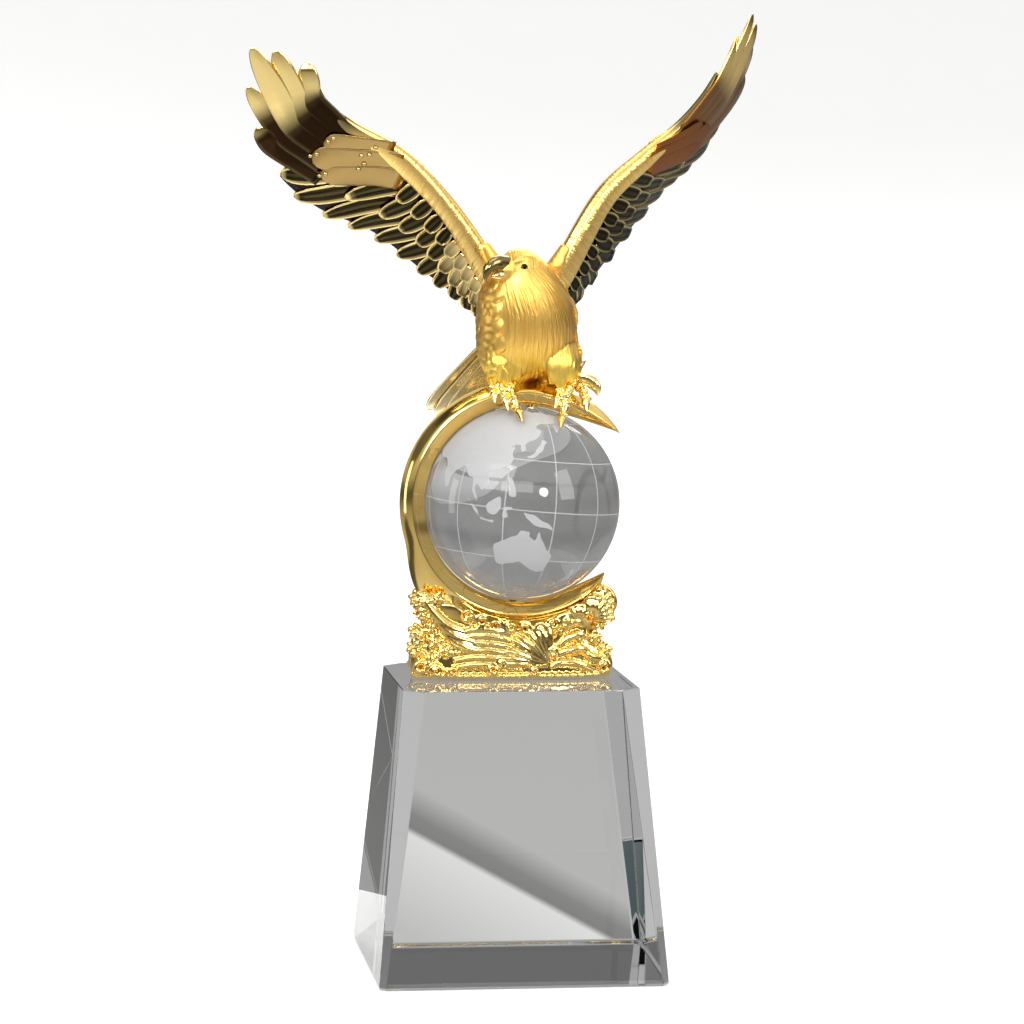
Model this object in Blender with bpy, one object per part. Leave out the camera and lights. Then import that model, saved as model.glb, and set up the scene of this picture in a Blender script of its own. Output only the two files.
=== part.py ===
"""Eagle and globe trophy: a crystal block, a gilt wave base with its crescent arm,
a crystal globe turning on two pins, and a gilt eagle landing on top.

Metres, +Z up. X runs to the right of the front, Y runs back, and the origin is
the centre of the block's underside.
"""
import math

import bmesh
import bpy
from mathutils import Matrix, Vector

MM = 0.001

# Block of clear crystal
BLOCK_BOTTOM = 88.0 * MM
BLOCK_TOP = 72.0 * MM
BLOCK_HEIGHT = 89.0 * MM
CORNER_CUT_TOP = 6.0 * MM
CORNER_CUT_BOTTOM = 2.0 * MM
UNDERSIDE_BEVEL = 0.6 * MM

# Globe and the pins it turns on
GLOBE_DIAMETER = 60.0 * MM
GLOBE_OFFSET = 3.6 * MM
AXIS_LEAN = math.radians(5.0)
PIN_DIAMETER = 1.6 * MM
PIN_IN_GLOBE = 4.5 * MM
PIN_IN_ARM = 2.4 * MM
PIN_CLEARANCE = 0.3 * MM
PIN_END_GAP = 0.4 * MM
BOSS_DIAMETER = 4.0 * MM
BOSS_PROUD = 0.2 * MM
BOSS_ROOT = 1.4 * MM

# Crescent arm, a ring of kite section round the globe that runs out to two points
ARM_GAP = 0.9 * MM
ARM_COVE = 3.5 * MM
ARM_FLANK = 3.5 * MM
ARM_DEPTH = 9.0 * MM
ARM_START = math.radians(-40.0)
ARM_END = math.radians(-324.0)
ARM_STATIONS = 56

# Wave base under the arm
BASE_WIDTH = 63.5 * MM
BASE_HEIGHT = 28.0 * MM
BASE_DEPTH = 18.0 * MM
GLUE_GAP = 0.3 * MM
# Share of the base's height at which the ring's lowest point sits
RING_SEAT = 0.55
BOWL_GAP = 0.4 * MM

# Eagle, whose pose is given in hundredths of its own height above the perch
EAGLE_HEIGHT = 115.0 * MM
EAGLE_YAW = math.radians(20.0)
PERCH_SIDE = 0.6 * MM
PERCH_DROP = 0.7 * MM
FOOT_GAP = 0.3 * MM
TOE_GAP = 0.6 * MM

# Where cast shapes run together
SEAM_MERGE = 0.005 * MM
SPECK_POINTS = 24
# How far a cutter runs past the face that it opens
CUT_PAST = 1.0 * MM

GLOBE_RADIUS = GLOBE_DIAMETER / 2
RING_INNER = GLOBE_RADIUS + ARM_GAP
RING_RIDGE = RING_INNER + ARM_COVE
RING_OUTER = RING_RIDGE + ARM_FLANK
BASE_BOTTOM = BLOCK_HEIGHT + GLUE_GAP
RING_CENTRE = Vector((GLOBE_OFFSET, 0.0, BASE_BOTTOM + RING_SEAT * BASE_HEIGHT + RING_OUTER))
GLOBE_CENTRE = RING_CENTRE.copy()
PERCH = RING_CENTRE + Vector((PERCH_SIDE, 0.0, RING_OUTER - PERCH_DROP))
AXIS = Vector((math.sin(AXIS_LEAN), 0.0, math.cos(AXIS_LEAN)))

CRYSTAL = dict(base_color=(0.93, 0.95, 0.96, 1.0), metallic=0.0, roughness=0.02)
GILT = dict(base_color=(0.90, 0.62, 0.16, 1.0), metallic=1.0, roughness=0.10)
SATIN_GILT = dict(base_color=(0.88, 0.58, 0.18, 1.0), metallic=1.0, roughness=0.28)
PIN_METAL = dict(base_color=(0.42, 0.28, 0.10, 1.0), metallic=1.0, roughness=0.30)


def clear_scene():
    for obj in list(bpy.data.objects):
        bpy.data.objects.remove(obj, do_unlink=True)


def new_collection(name):
    collection = bpy.data.collections.new(name)
    bpy.context.scene.collection.children.link(collection)
    return collection


def new_material(name, base_color, metallic, roughness):
    material = bpy.data.materials.new(name)
    material.use_nodes = True
    shader = material.node_tree.nodes["Principled BSDF"]
    shader.inputs["Base Color"].default_value = base_color
    shader.inputs["Metallic"].default_value = metallic
    shader.inputs["Roughness"].default_value = roughness
    return material


def object_from_bmesh(name, bm, collection):
    bmesh.ops.recalc_face_normals(bm, faces=bm.faces)
    bmesh.ops.triangulate(bm, faces=[f for f in bm.faces if len(f.verts) > 4])
    mesh = bpy.data.meshes.new(name)
    bm.to_mesh(mesh)
    bm.free()
    obj = bpy.data.objects.new(name, mesh)
    collection.objects.link(obj)
    return obj


def loft(name, rings, collection):
    """Closed solid through rings of the same number of points, capped at both ends."""
    bm = bmesh.new()
    rows = [[bm.verts.new(point) for point in ring] for ring in rings]
    count = len(rings[0])
    for lower, upper in zip(rows, rows[1:]):
        for i in range(count):
            j = (i + 1) % count
            bm.faces.new((lower[i], lower[j], upper[j], upper[i]))
    bm.faces.new(rows[0])
    bm.faces.new(rows[-1])
    return object_from_bmesh(name, bm, collection)


def smooth_value(values, t):
    """Catmull-Rom value at t from 0 to 1 through evenly spaced numbers or vectors."""
    last = len(values) - 1
    at = min(max(t, 0.0), 1.0) * last
    i = min(int(at), last - 1)
    f = at - i
    p1 = values[i]
    p2 = values[i + 1]
    p0 = values[i - 1] if i > 0 else p1 + (p1 - p2)
    p3 = values[i + 2] if i + 2 <= last else p2 + (p2 - p1)
    return (p1 * 2 + (p2 - p0) * f + (p0 * 2 - p1 * 5 + p2 * 4 - p3) * f**2
            + (p1 * 3 - p0 - p2 * 3 + p3) * f**3) * 0.5


def steps(count):
    return [i / (count - 1) for i in range(count)]


def limb(name, path, radii, collection, sides=8, stations=9):
    """Round limb along a smooth path, its radius running through radii."""
    rings = []
    side = Vector((1.0, 0.0, 0.0))
    for t in steps(stations):
        centre = smooth_value(path, t)
        along = (smooth_value(path, min(t + 0.02, 1.0)) - smooth_value(path, max(t - 0.02, 0.0))).normalized()
        side = (side - along * side.dot(along)).normalized()
        up = along.cross(side)
        radius = smooth_value(radii, t)
        ring = []
        for k in range(sides):
            angle = 2 * math.pi * k / sides
            ring.append(centre + side * (math.cos(angle) * radius) + up * (math.sin(angle) * radius))
        rings.append(ring)
    return loft(name, rings, collection)


def rod(name, start, end, radius, collection, sides=16):
    """Straight round rod between two points."""
    direction = end - start
    bm = bmesh.new()
    bmesh.ops.create_cone(bm, cap_ends=True, segments=sides, radius1=radius, radius2=radius,
                          depth=direction.length)
    turn = direction.to_track_quat("Z", "Y").to_matrix().to_4x4()
    bmesh.ops.transform(bm, matrix=Matrix.Translation((start + end) / 2) @ turn, verts=bm.verts)
    return object_from_bmesh(name, bm, collection)


def ball(name, centre, radii, collection, across=20, up=12, turn=None):
    """Sphere or ellipsoid about a centre."""
    bm = bmesh.new()
    bmesh.ops.create_uvsphere(bm, u_segments=across, v_segments=up, radius=1.0)
    matrix = Matrix.Translation(centre) @ (turn or Matrix.Identity(4)) @ Matrix.Diagonal((*radii, 1.0))
    bmesh.ops.transform(bm, matrix=matrix, verts=bm.verts)
    return object_from_bmesh(name, bm, collection)


def apply_boolean(target, tools, operation):
    """Joins the tools to the target, or cuts them from it, in one step, and keeps the plain mesh."""
    group = bpy.data.collections.new("tools")
    for tool in tools:
        group.objects.link(tool)
    modifier = target.modifiers.new("combine", "BOOLEAN")
    modifier.operation = operation
    modifier.solver = "EXACT"
    modifier.operand_type = "COLLECTION"
    modifier.collection = group
    bpy.context.view_layer.update()
    evaluated = target.evaluated_get(bpy.context.evaluated_depsgraph_get())
    mesh = bpy.data.meshes.new_from_object(evaluated)
    target.modifiers.clear()
    target.data = mesh
    smooth_seams(mesh)
    for tool in tools:
        bpy.data.objects.remove(tool, do_unlink=True)
    bpy.data.collections.remove(group)
    return target


def smooth_seams(mesh):
    """Merges the hair-thin faces along a seam and fills the specks that they shut in."""
    bm = bmesh.new()
    bm.from_mesh(mesh)
    bmesh.ops.triangulate(bm, faces=bm.faces)
    bmesh.ops.dissolve_degenerate(bm, dist=SEAM_MERGE, edges=bm.edges)
    bmesh.ops.remove_doubles(bm, verts=bm.verts, dist=SEAM_MERGE)
    bmesh.ops.triangulate(bm, faces=bm.faces)
    specks = [shell for shell in shells_of(bm) if len(shell) < SPECK_POINTS]
    bmesh.ops.delete(bm, geom=[vert for shell in specks for vert in shell], context="VERTS")
    bm.to_mesh(mesh)
    bm.free()


def shells_of(bm):
    """Points of each shell that isn't joined to another."""
    waiting = set(bm.verts)
    shells = []
    while waiting:
        reached = {waiting.pop()}
        edge = list(reached)
        while edge:
            near = {e.other_vert(v) for v in edge for e in v.link_edges}
            edge = list(near - reached)
            reached |= near
        waiting -= reached
        shells.append(reached)
    return shells


def finish_piece(obj, material, sharp_angle=35.0):
    obj.data.materials.clear()
    obj.data.materials.append(material)
    obj.data.shade_smooth()
    obj.data.set_sharp_from_angle(angle=math.radians(sharp_angle))


def block_ring(width, cut, z):
    """Square with its four corners cut off."""
    h = width / 2
    corner = ((h - cut, -h), (h, -h + cut))
    ring = []
    for quarter in range(4):
        c, s = (1, 0, -1, 0)[quarter], (0, 1, 0, -1)[quarter]
        ring.extend(Vector((c * x - s * y, s * x + c * y, z)) for x, y in corner)
    return ring


def make_block(collection):
    inset = 2 * UNDERSIDE_BEVEL
    rings = [
        block_ring(BLOCK_BOTTOM - inset, CORNER_CUT_BOTTOM, 0.0),
        block_ring(BLOCK_BOTTOM, CORNER_CUT_BOTTOM, UNDERSIDE_BEVEL),
        block_ring(BLOCK_TOP, CORNER_CUT_TOP, BLOCK_HEIGHT),
    ]
    return loft("crystal_block", rings, collection)


def arm_ring(angle, grow=0.0):
    """Kite section of the crescent: a ridge in front and behind, a cove to the globe."""
    done = (angle - ARM_START) / (ARM_END - ARM_START)
    point_low = min(done / 0.16, 1.0)
    point_high = min((1.0 - done) / 0.12, 1.0)
    full = math.sin(math.pi / 2 * min(point_low, point_high)) ** 0.8
    full = max(full, 0.12)
    # Both points of the crescent end nearer the outside than the cove.
    middle = RING_RIDGE + (1.0 - full) * (0.8 * ARM_FLANK if point_high < point_low else -0.2 * ARM_COVE)
    inner = middle - ARM_COVE * full - grow
    outer = middle + ARM_FLANK * full + grow
    depth = ARM_DEPTH / 2 * (0.25 + 0.75 * full) + grow
    section = (
        (middle, -depth),
        (middle + 0.58 * (outer - middle), -0.62 * depth),
        (outer, 0.0),
        (middle + 0.58 * (outer - middle), 0.62 * depth),
        (middle, depth),
        (middle - 0.80 * (middle - inner), 0.52 * depth),
        (inner, 0.0),
        (middle - 0.80 * (middle - inner), -0.52 * depth),
    )
    out = Vector((math.cos(angle), 0.0, math.sin(angle)))
    return [RING_CENTRE + out * radius + Vector((0.0, y, 0.0)) for radius, y in section]


def make_arm(name, collection, grow=0.0):
    rings = [arm_ring(ARM_START + t * (ARM_END - ARM_START), grow) for t in steps(ARM_STATIONS)]
    return loft(name, rings, collection)


# Height up the wave base, then its left and right edges, in shares of half its width
BASE_OUTLINE = (
    (0.00, 0.99, 1.04), (0.14, 1.00, 1.04), (0.25, 0.99, 0.97), (0.34, 0.95, 0.90),
    (0.42, 0.97, 0.86), (0.52, 0.95, 0.87), (0.58, 0.80, 0.96), (0.66, 0.78, 1.01),
    (0.74, 0.86, 1.03), (0.82, 0.95, 1.04), (0.92, 0.94, 1.02), (1.00, 0.89, 0.96),
)
BASE_SIDES = 32


def base_ring(share, left, right):
    """Level outline of the wave base: rounded ends, ribbed by the standing waves."""
    z = BASE_BOTTOM + share * BASE_HEIGHT
    swell = 1.0 - 0.22 * share + 0.10 * math.sin(share * 3 * math.pi)
    ring = []
    for k in range(BASE_SIDES):
        angle = 2 * math.pi * k / BASE_SIDES
        c, s = math.cos(angle), math.sin(angle)
        half = BASE_WIDTH / 2 * (right if c > 0 else left)
        x = half * math.copysign(abs(c) ** 0.55, c)
        rib = 1.0 + 0.13 * math.sin(7 * angle + 5 * share) * abs(s)
        y = BASE_DEPTH / 2 * swell * rib * math.copysign(abs(s) ** 0.55, s)
        ring.append(Vector((x, y, z)))
    return ring


def foam_bumps(collection):
    """Lumps of foam on the two horns of the base and along the arm's foot."""
    places = (
        # degrees round the ring, distance beyond the ridge, depth, radius
        (223, 8.4, -2.5, 3.0), (229, 6.0, -5.0, 2.6), (240, 3.6, -5.8, 2.2),
        (252, 3.2, -6.4, 2.2), (264, 3.0, -6.6, 2.2), (276, 3.0, -6.6, 2.2),
        (288, 3.4, -6.2, 2.4), (299, 4.2, -5.4, 2.6), (308, 5.6, -3.0, 3.6),
        (223, 7.4, 3.5, 3.2), (308, 5.4, 3.8, 3.2),
    )
    bumps = []
    for number, (degrees, beyond, depth, radius) in enumerate(places):
        angle = math.radians(degrees)
        reach = RING_RIDGE + beyond * MM
        centre = RING_CENTRE + Vector((math.cos(angle) * reach, depth * MM, math.sin(angle) * reach))
        bumps.append(ball(f"foam_{number}", centre, [radius * MM] * 3, collection, across=8, up=5))
    return bumps


def make_wave_base(collection, cutters):
    levels = [base_ring(*row) for row in BASE_OUTLINE]
    base = loft("wave_base_and_arm", levels, collection)
    hollow = RING_RIDGE + BOWL_GAP
    reach = Vector((0.0, BASE_DEPTH, 0.0))
    bowl = rod("bowl", RING_CENTRE - reach, RING_CENTRE + reach, hollow, cutters, sides=72)
    apply_boolean(base, [bowl], "DIFFERENCE")
    boss = rod("boss", GLOBE_CENTRE + AXIS * (RING_INNER - BOSS_PROUD),
               GLOBE_CENTRE + AXIS * (RING_RIDGE + BOSS_ROOT), BOSS_DIAMETER / 2, cutters, sides=12)
    apply_boolean(base, [make_arm("arm", cutters), boss] + foam_bumps(cutters), "UNION")
    seats = []
    for way in (1, -1):
        deep = RING_INNER + PIN_IN_ARM + PIN_END_GAP
        seats.append(rod(f"seat_{way}", GLOBE_CENTRE + AXIS * way * (GLOBE_RADIUS - CUT_PAST),
                         GLOBE_CENTRE + AXIS * way * deep,
                         PIN_DIAMETER / 2 + PIN_CLEARANCE, cutters, sides=12))
    return apply_boolean(base, seats, "DIFFERENCE")


def make_pin(name, way, collection):
    """Pin from its seat in the arm to its bore in the globe."""
    inner = GLOBE_CENTRE + AXIS * way * (GLOBE_RADIUS - PIN_IN_GLOBE)
    outer = GLOBE_CENTRE + AXIS * way * (RING_INNER + PIN_IN_ARM)
    return rod(name, inner, outer, PIN_DIAMETER / 2, collection, sides=12)


def make_globe(collection, cutters):
    globe = ball("globe", Vector(), [GLOBE_RADIUS] * 3, collection, across=32, up=16)
    bores = []
    for way in (1, -1):
        deep = Vector((0.0, 0.0, way * (GLOBE_RADIUS - PIN_IN_GLOBE - PIN_END_GAP)))
        out = Vector((0.0, 0.0, way * (GLOBE_RADIUS + CUT_PAST)))
        bores.append(rod(f"bore_{way}", deep, out, PIN_DIAMETER / 2 + PIN_CLEARANCE, cutters, sides=12))
    apply_boolean(globe, bores, "DIFFERENCE")
    globe.location = GLOBE_CENTRE
    globe.rotation_euler = (0.0, AXIS_LEAN, 0.0)
    return globe


def pose(x, y, z):
    """Point of the eagle, in hundredths of its height from the perch."""
    return PERCH + Vector((x, y, z)) * (EAGLE_HEIGHT / 100)


def share(value):
    return value * EAGLE_HEIGHT / 100


# Torso and neck: height, middle across, half width, middle in depth, half depth
TORSO = (
    (0.4, 0.4, 9.0, 2.0, 5.4), (3.4, 0.2, 11.6, 1.6, 8.0), (7.6, 0.1, 12.6, 1.0, 10.0),
    (11.6, 0.3, 13.1, 0.3, 11.2), (15.7, 0.3, 13.2, 0.0, 11.5), (20.6, 0.0, 12.9, 0.0, 11.0),
    (25.2, -0.3, 11.0, -0.4, 9.9), (28.7, -0.9, 8.5, -1.7, 8.3), (31.9, -1.6, 6.4, -3.5, 6.6),
    (34.2, -2.4, 3.8, -4.8, 4.2),
)


def make_torso(name, collection, sides=22, stations=14):
    rings = []
    rows = [Vector((row[1], row[3], row[0])) for row in TORSO]
    widths = [row[2] for row in TORSO]
    depths = [row[4] for row in TORSO]
    across = Vector((math.cos(EAGLE_YAW), math.sin(EAGLE_YAW), 0.0))
    back = Vector((-math.sin(EAGLE_YAW), math.cos(EAGLE_YAW), 0.0))
    for t in steps(stations):
        centre = smooth_value(rows, t)
        half = share(smooth_value(widths, t))
        deep = share(smooth_value(depths, t))
        ring = []
        for k in range(sides):
            angle = 2 * math.pi * k / sides
            ring.append(pose(*centre) + across * (half * math.cos(angle)) + back * (deep * math.sin(angle)))
        rings.append(ring)
    return loft(name, rings, collection)


def make_head(collection):
    """Head turned to the eagle's right, with its hooked beak."""
    look = Vector((-0.84, -0.52, -0.06)).normalized()
    turn = look.to_track_quat("X", "Z").to_matrix().to_4x4()
    centre = pose(-3.6, -6.4, 29.9)
    head = ball("head", centre, [share(6.6), share(5.3), share(5.3)], collection, 18, 10, turn)
    path = [pose(-6.5, -8.6, 31.2), pose(-10.2, -10.8, 32.0), pose(-13.2, -12.6, 30.6), pose(-13.9, -13.0, 27.8)]
    beak = limb("beak", path, [share(r) for r in (2.7, 2.0, 1.2, 0.3)], collection, sides=8, stations=7)
    jaw_path = [pose(-6.0, -8.4, 29.4), pose(-9.2, -10.4, 29.5), pose(-11.4, -11.7, 29.3)]
    jaw = limb("jaw", jaw_path, [share(r) for r in (1.9, 1.4, 0.4)], collection, sides=6, stations=4)
    return [head, beak, jaw]


# Each wing: leading edge, trailing edge, then the free tips of its outer primaries
RIGHT_WING = dict(
    leading=((-3.0, 3.0, 23.0), (-8.4, 1.0, 32.6), (-20.1, -1.7, 48.7), (-32.9, -5.2, 61.3),
             (-47.0, -10.0, 68.8), (-54.1, -12.2, 74.1), (-58.0, -14.0, 81.0)),
    trailing=((-6.0, 8.5, 13.0), (-13.4, 12.2, 19.8), (-26.0, 11.3, 28.8), (-40.0, 9.6, 39.4),
              (-54.8, 6.1, 45.6), (-65.4, 1.7, 53.8), (-70.4, -4.0, 63.0)),
    tips=((-59.8, -14.8, 84.2), (-68.6, -17.4, 87.2), (-74.9, -19.1, 87.9), (-75.4, -12.2, 77.6),
          (-72.6, -7.0, 66.8)),
)
LEFT_WING = dict(
    leading=((2.0, 3.0, 21.0), (7.9, 1.4, 31.0), (19.9, 5.2, 50.5), (32.0, 8.7, 61.0),
             (42.0, 11.4, 68.8), (49.0, 13.4, 76.4), (54.5, 15.7, 84.7)),
    trailing=((7.0, 11.0, 13.0), (14.6, 17.4, 21.6), (29.6, 24.3, 39.2), (41.4, 28.7, 52.4),
              (50.2, 30.4, 59.4), (57.4, 31.6, 69.6), (60.6, 31.0, 76.5)),
    tips=((59.8, 18.4, 93.5), (64.2, 20.4, 99.8), (65.7, 23.4, 97.2), (65.6, 26.6, 91.5),
          (64.0, 29.6, 83.5)),
)
WING_FEATHERS = 15
WING_STATIONS = 2 * WING_FEATHERS + 1


def wing_section(lead, trail, along, thick, camber, ridge):
    """Section of the wing: a round leading edge that thins to the feathers."""
    chord = trail - lead
    normal = chord.cross(along).normalized()
    across = (0.00, 0.05, 0.14, 0.30, 0.60, 1.00)
    height = (0.00, 0.72, 1.00, 0.42, 0.28, 0.16)
    front, back = [], []
    for u, h in zip(across, height):
        base = lead + chord * u + normal * (camber * 4 * u * (1 - u))
        rise = thick * h
        lift = ridge if u > 0.2 else 0.0
        front.append(base + normal * (rise + lift))
        back.append(base - normal * (rise - lift))
    return front[1:] + back[:0:-1] + [front[0]]


def make_wing(name, shape, way, collection):
    leading = [pose(*point) for point in shape["leading"]]
    trailing = [pose(*point) for point in shape["trailing"]]
    thickness = [share(v) for v in (3.4, 3.2, 2.8, 2.4, 1.8, 1.2, 0.9)]
    rings = []
    for t in steps(WING_STATIONS):
        lead = smooth_value(leading, t)
        trail = smooth_value(trailing, t)
        along = smooth_value(leading, min(t + 0.02, 1.0)) - smooth_value(leading, max(t - 0.02, 0.0))
        feather = abs(math.sin(math.pi * WING_FEATHERS * t)) ** 0.6
        chord = trail - lead
        trail = trail + chord.normalized() * share(1.9) * feather
        ridge = share(0.30) * (feather - 0.5)
        rings.append(wing_section(lead, trail, along, smooth_value(thickness, t), share(-2.2) * way, ridge))
    wing = loft(name, rings, collection)
    return [wing] + make_primaries(name, shape, leading, trailing, way, collection)


def make_primaries(name, shape, leading, trailing, way, collection):
    """Outer flight feathers, spread like fingers past the end of the wing."""
    blades = []
    count = len(shape["tips"])
    for number, tip_point in enumerate(shape["tips"]):
        tip = pose(*tip_point)
        spread = (number + 0.5) / count
        root = smooth_value(leading, 0.74).lerp(smooth_value(trailing, 0.80), 0.12 + 0.55 * spread)
        elbow = smooth_value(leading, 0.97).lerp(smooth_value(trailing, 0.97), 0.06 + 0.88 * spread)
        along = (tip - root).normalized()
        across = (trailing[-1] - leading[-1]).normalized()
        across = (across - along * across.dot(along)).normalized()
        normal = along.cross(across).normalized()
        path = [root, elbow, elbow.lerp(tip, 0.55), tip]
        widths = [share(w) for w in (2.4, 3.7, 3.3, 0.45)]
        rings = []
        for t in steps(8):
            centre = smooth_value(path, t) + normal * (share(0.25) * (number % 2))
            half = smooth_value(widths, t)
            thick = share(0.75 - 0.35 * t)
            rings.append([centre - across * half, centre - across * half * 0.35 + normal * thick,
                          centre + across * half * 0.35 + normal * thick, centre + across * half,
                          centre + across * half * 0.35 - normal * thick,
                          centre - across * half * 0.35 - normal * thick])
        blades.append(loft(f"{name}_blade_{number}", rings, collection))
    return blades


def make_tail(collection):
    """Fan of tail feathers, ribbed along their shafts."""
    across = Vector((math.cos(EAGLE_YAW), math.sin(EAGLE_YAW), 0.0))
    root = pose(-1.5, 5.0, 11.0)
    end = pose(-14.2, 22.5, -9.5)
    along = (end - root).normalized()
    normal = along.cross(across).normalized()
    rings = []
    ribs = 6
    for t in steps(9):
        centre = root.lerp(end, t)
        half = share(4.5 + 5.0 * t)
        front, back = [], []
        for k in range(2 * ribs + 1):
            u = k / ribs - 1.0
            rib = share(0.35) if k % 2 else 0.0
            tip = along * (-share(2.2) * u * u * t + (share(0.9) if k % 2 else 0.0) * t)
            middle = centre + across * (half * u) + tip - normal * (share(1.6) * u * u)
            front.append(middle + normal * (share(0.65) + rib))
            back.append(middle - normal * (share(0.65) + rib))
        rings.append(front + back[::-1])
    return loft("tail", rings, collection)


def sphere_point(side, tilt, radius):
    """Point round the globe: degrees to the side and degrees forward of the top."""
    a, b = math.radians(side), math.radians(tilt)
    direction = Vector((math.sin(a) * math.cos(b), -math.sin(b), math.cos(a) * math.cos(b)))
    return GLOBE_CENTRE + direction * radius


def make_toe(name, start, end, girth, collection):
    """Knuckled toe that grips the arm and lies along the globe, ending in a claw."""
    radius = share(girth)
    on_arm = RING_OUTER + FOOT_GAP + radius
    on_globe = GLOBE_RADIUS + TOE_GAP + radius
    path = []
    for t in steps(7):
        side = start[0] + (end[0] - start[0]) * t
        tilt = start[1] + (end[1] - start[1]) * t
        drop = min(max((abs(tilt) - 6.0) / 16.0, 0.0), 1.0)
        path.append(sphere_point(side, tilt, on_arm + (on_globe - on_arm) * drop))
    knuckles = [radius * k for k in (1.15, 0.90, 1.20, 0.85, 1.10, 0.75, 0.30)]
    return limb(name, path, knuckles, collection, sides=6, stations=7)


# Each foot: degrees to the side of the top, where the thigh leaves the body, and its
# toes, as side and tilt where they start and where they end, and their girth
FEET = dict(
    right=dict(side=-10.0, thigh=(-5.6, 0.6, 8.6), toes=(
        ((-9.0, 1.0), (-5.5, 34.5), 1.25), ((-11.5, 1.0), (-12.0, 22.0), 1.20),
        ((-13.0, 1.0), (-17.5, 17.0), 1.15), ((-10.0, 1.0), (-9.0, -13.0), 1.10))),
    left=dict(side=20.0, thigh=(8.6, 1.2, 8.6), toes=(
        ((21.0, 1.0), (20.5, 35.0), 1.25), ((18.0, 1.0), (15.5, 20.0), 1.15),
        ((23.0, 1.0), (33.0, 15.0), 1.15), ((20.0, 1.0), (22.0, -13.0), 1.10))),
)


def make_legs(collection):
    """Feathered thighs, short ankles and four toes to each foot."""
    pieces = []
    for name, foot in FEET.items():
        ankle = sphere_point(foot["side"], 2.0, RING_OUTER + share(2.9))
        thigh_top = pose(*foot["thigh"])
        knee = thigh_top.lerp(ankle, 0.5) + Vector((0.0, -share(1.2), 0.0))
        pieces.append(limb(f"{name}_thigh", [thigh_top, knee, ankle],
                           [share(r) for r in (5.6, 4.6, 2.2)], collection, sides=10, stations=5))
        pad = sphere_point(foot["side"], 1.5, RING_OUTER + FOOT_GAP + share(1.4))
        pieces.append(limb(f"{name}_ankle", [ankle, ankle.lerp(pad, 0.5), pad],
                           [share(r) for r in (2.1, 1.9, 2.0)], collection, sides=8, stations=3))
        for number, (start, end, girth) in enumerate(foot["toes"]):
            pieces.append(make_toe(f"{name}_toe_{number}", start, end, girth, collection))
    spur = [pose(8.5, 2.5, 3.0), pose(13.2, 2.6, 2.6), pose(17.2, 3.0, 4.6)]
    pieces.append(limb("heel_feather", spur, [share(r) for r in (1.6, 1.5, 0.25)], collection, 6, 4))
    return pieces


def make_eagle(collection, cutters):
    eagle = make_torso("eagle", collection)
    pieces = make_head(cutters)
    pieces += make_wing("right_wing", RIGHT_WING, 1, cutters)
    pieces += make_wing("left_wing", LEFT_WING, -1, cutters)
    pieces += [make_tail(cutters)]
    pieces += make_legs(cutters)
    apply_boolean(eagle, pieces, "UNION")
    clearance = [make_arm("arm_clearance", cutters, grow=FOOT_GAP),
                 ball("globe_clearance", GLOBE_CENTRE, [GLOBE_RADIUS + TOE_GAP] * 3, cutters, 36, 18)]
    return apply_boolean(eagle, clearance, "DIFFERENCE")


def main():
    clear_scene()
    parts = new_collection("eagle_globe_trophy")
    cutters = new_collection("cutters")
    crystal = new_material("clear_crystal", **CRYSTAL)
    gilt = new_material("polished_gilt", **GILT)
    satin = new_material("satin_gilt", **SATIN_GILT)
    pin_metal = new_material("pin_metal", **PIN_METAL)
    finish_piece(make_block(parts), crystal)
    finish_piece(make_wave_base(parts, cutters), gilt)
    finish_piece(make_pin("upper_pin", 1, parts), pin_metal)
    finish_piece(make_pin("lower_pin", -1, parts), pin_metal)
    finish_piece(make_globe(parts, cutters), crystal)
    finish_piece(make_eagle(parts, cutters), satin)


main()
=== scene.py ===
"""Looks of the eagle and globe trophy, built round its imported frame.

The crystal, the etched globe, the cast wave base with its crescent arm and the
feathered eagle are modelled here at full detail, in metres, where the frame has
them. Panel: 3D View > Sidebar > Trophy.
"""

import math
import random

import bpy
import numpy as np
from mathutils import Matrix, Vector
from mathutils.bvhtree import BVHTree
from mathutils.geometry import delaunay_2d_cdt


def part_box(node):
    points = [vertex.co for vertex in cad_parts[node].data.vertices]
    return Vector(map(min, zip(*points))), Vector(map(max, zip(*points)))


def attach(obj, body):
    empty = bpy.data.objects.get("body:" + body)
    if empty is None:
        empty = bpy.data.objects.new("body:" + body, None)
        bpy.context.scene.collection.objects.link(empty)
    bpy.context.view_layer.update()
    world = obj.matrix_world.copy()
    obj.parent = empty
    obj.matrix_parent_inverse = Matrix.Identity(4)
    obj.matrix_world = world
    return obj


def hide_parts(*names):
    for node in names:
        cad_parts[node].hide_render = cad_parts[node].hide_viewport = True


bl_info = {
    "name": "Eagle and globe trophy",
    "version": (1, 0, 0),
    "blender": (4, 5, 0),
    "location": "3D View > Sidebar > Trophy",
    "description": "Models and finishes the parts of the eagle and globe trophy",
    "category": "Add Mesh",
}

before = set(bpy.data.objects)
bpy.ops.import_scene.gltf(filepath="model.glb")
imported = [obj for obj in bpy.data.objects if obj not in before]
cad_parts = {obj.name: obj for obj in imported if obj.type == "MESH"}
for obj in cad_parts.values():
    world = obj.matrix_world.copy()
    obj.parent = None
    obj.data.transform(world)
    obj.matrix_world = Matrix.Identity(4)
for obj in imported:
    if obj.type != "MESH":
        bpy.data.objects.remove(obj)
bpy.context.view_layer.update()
MM = 0.001

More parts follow.
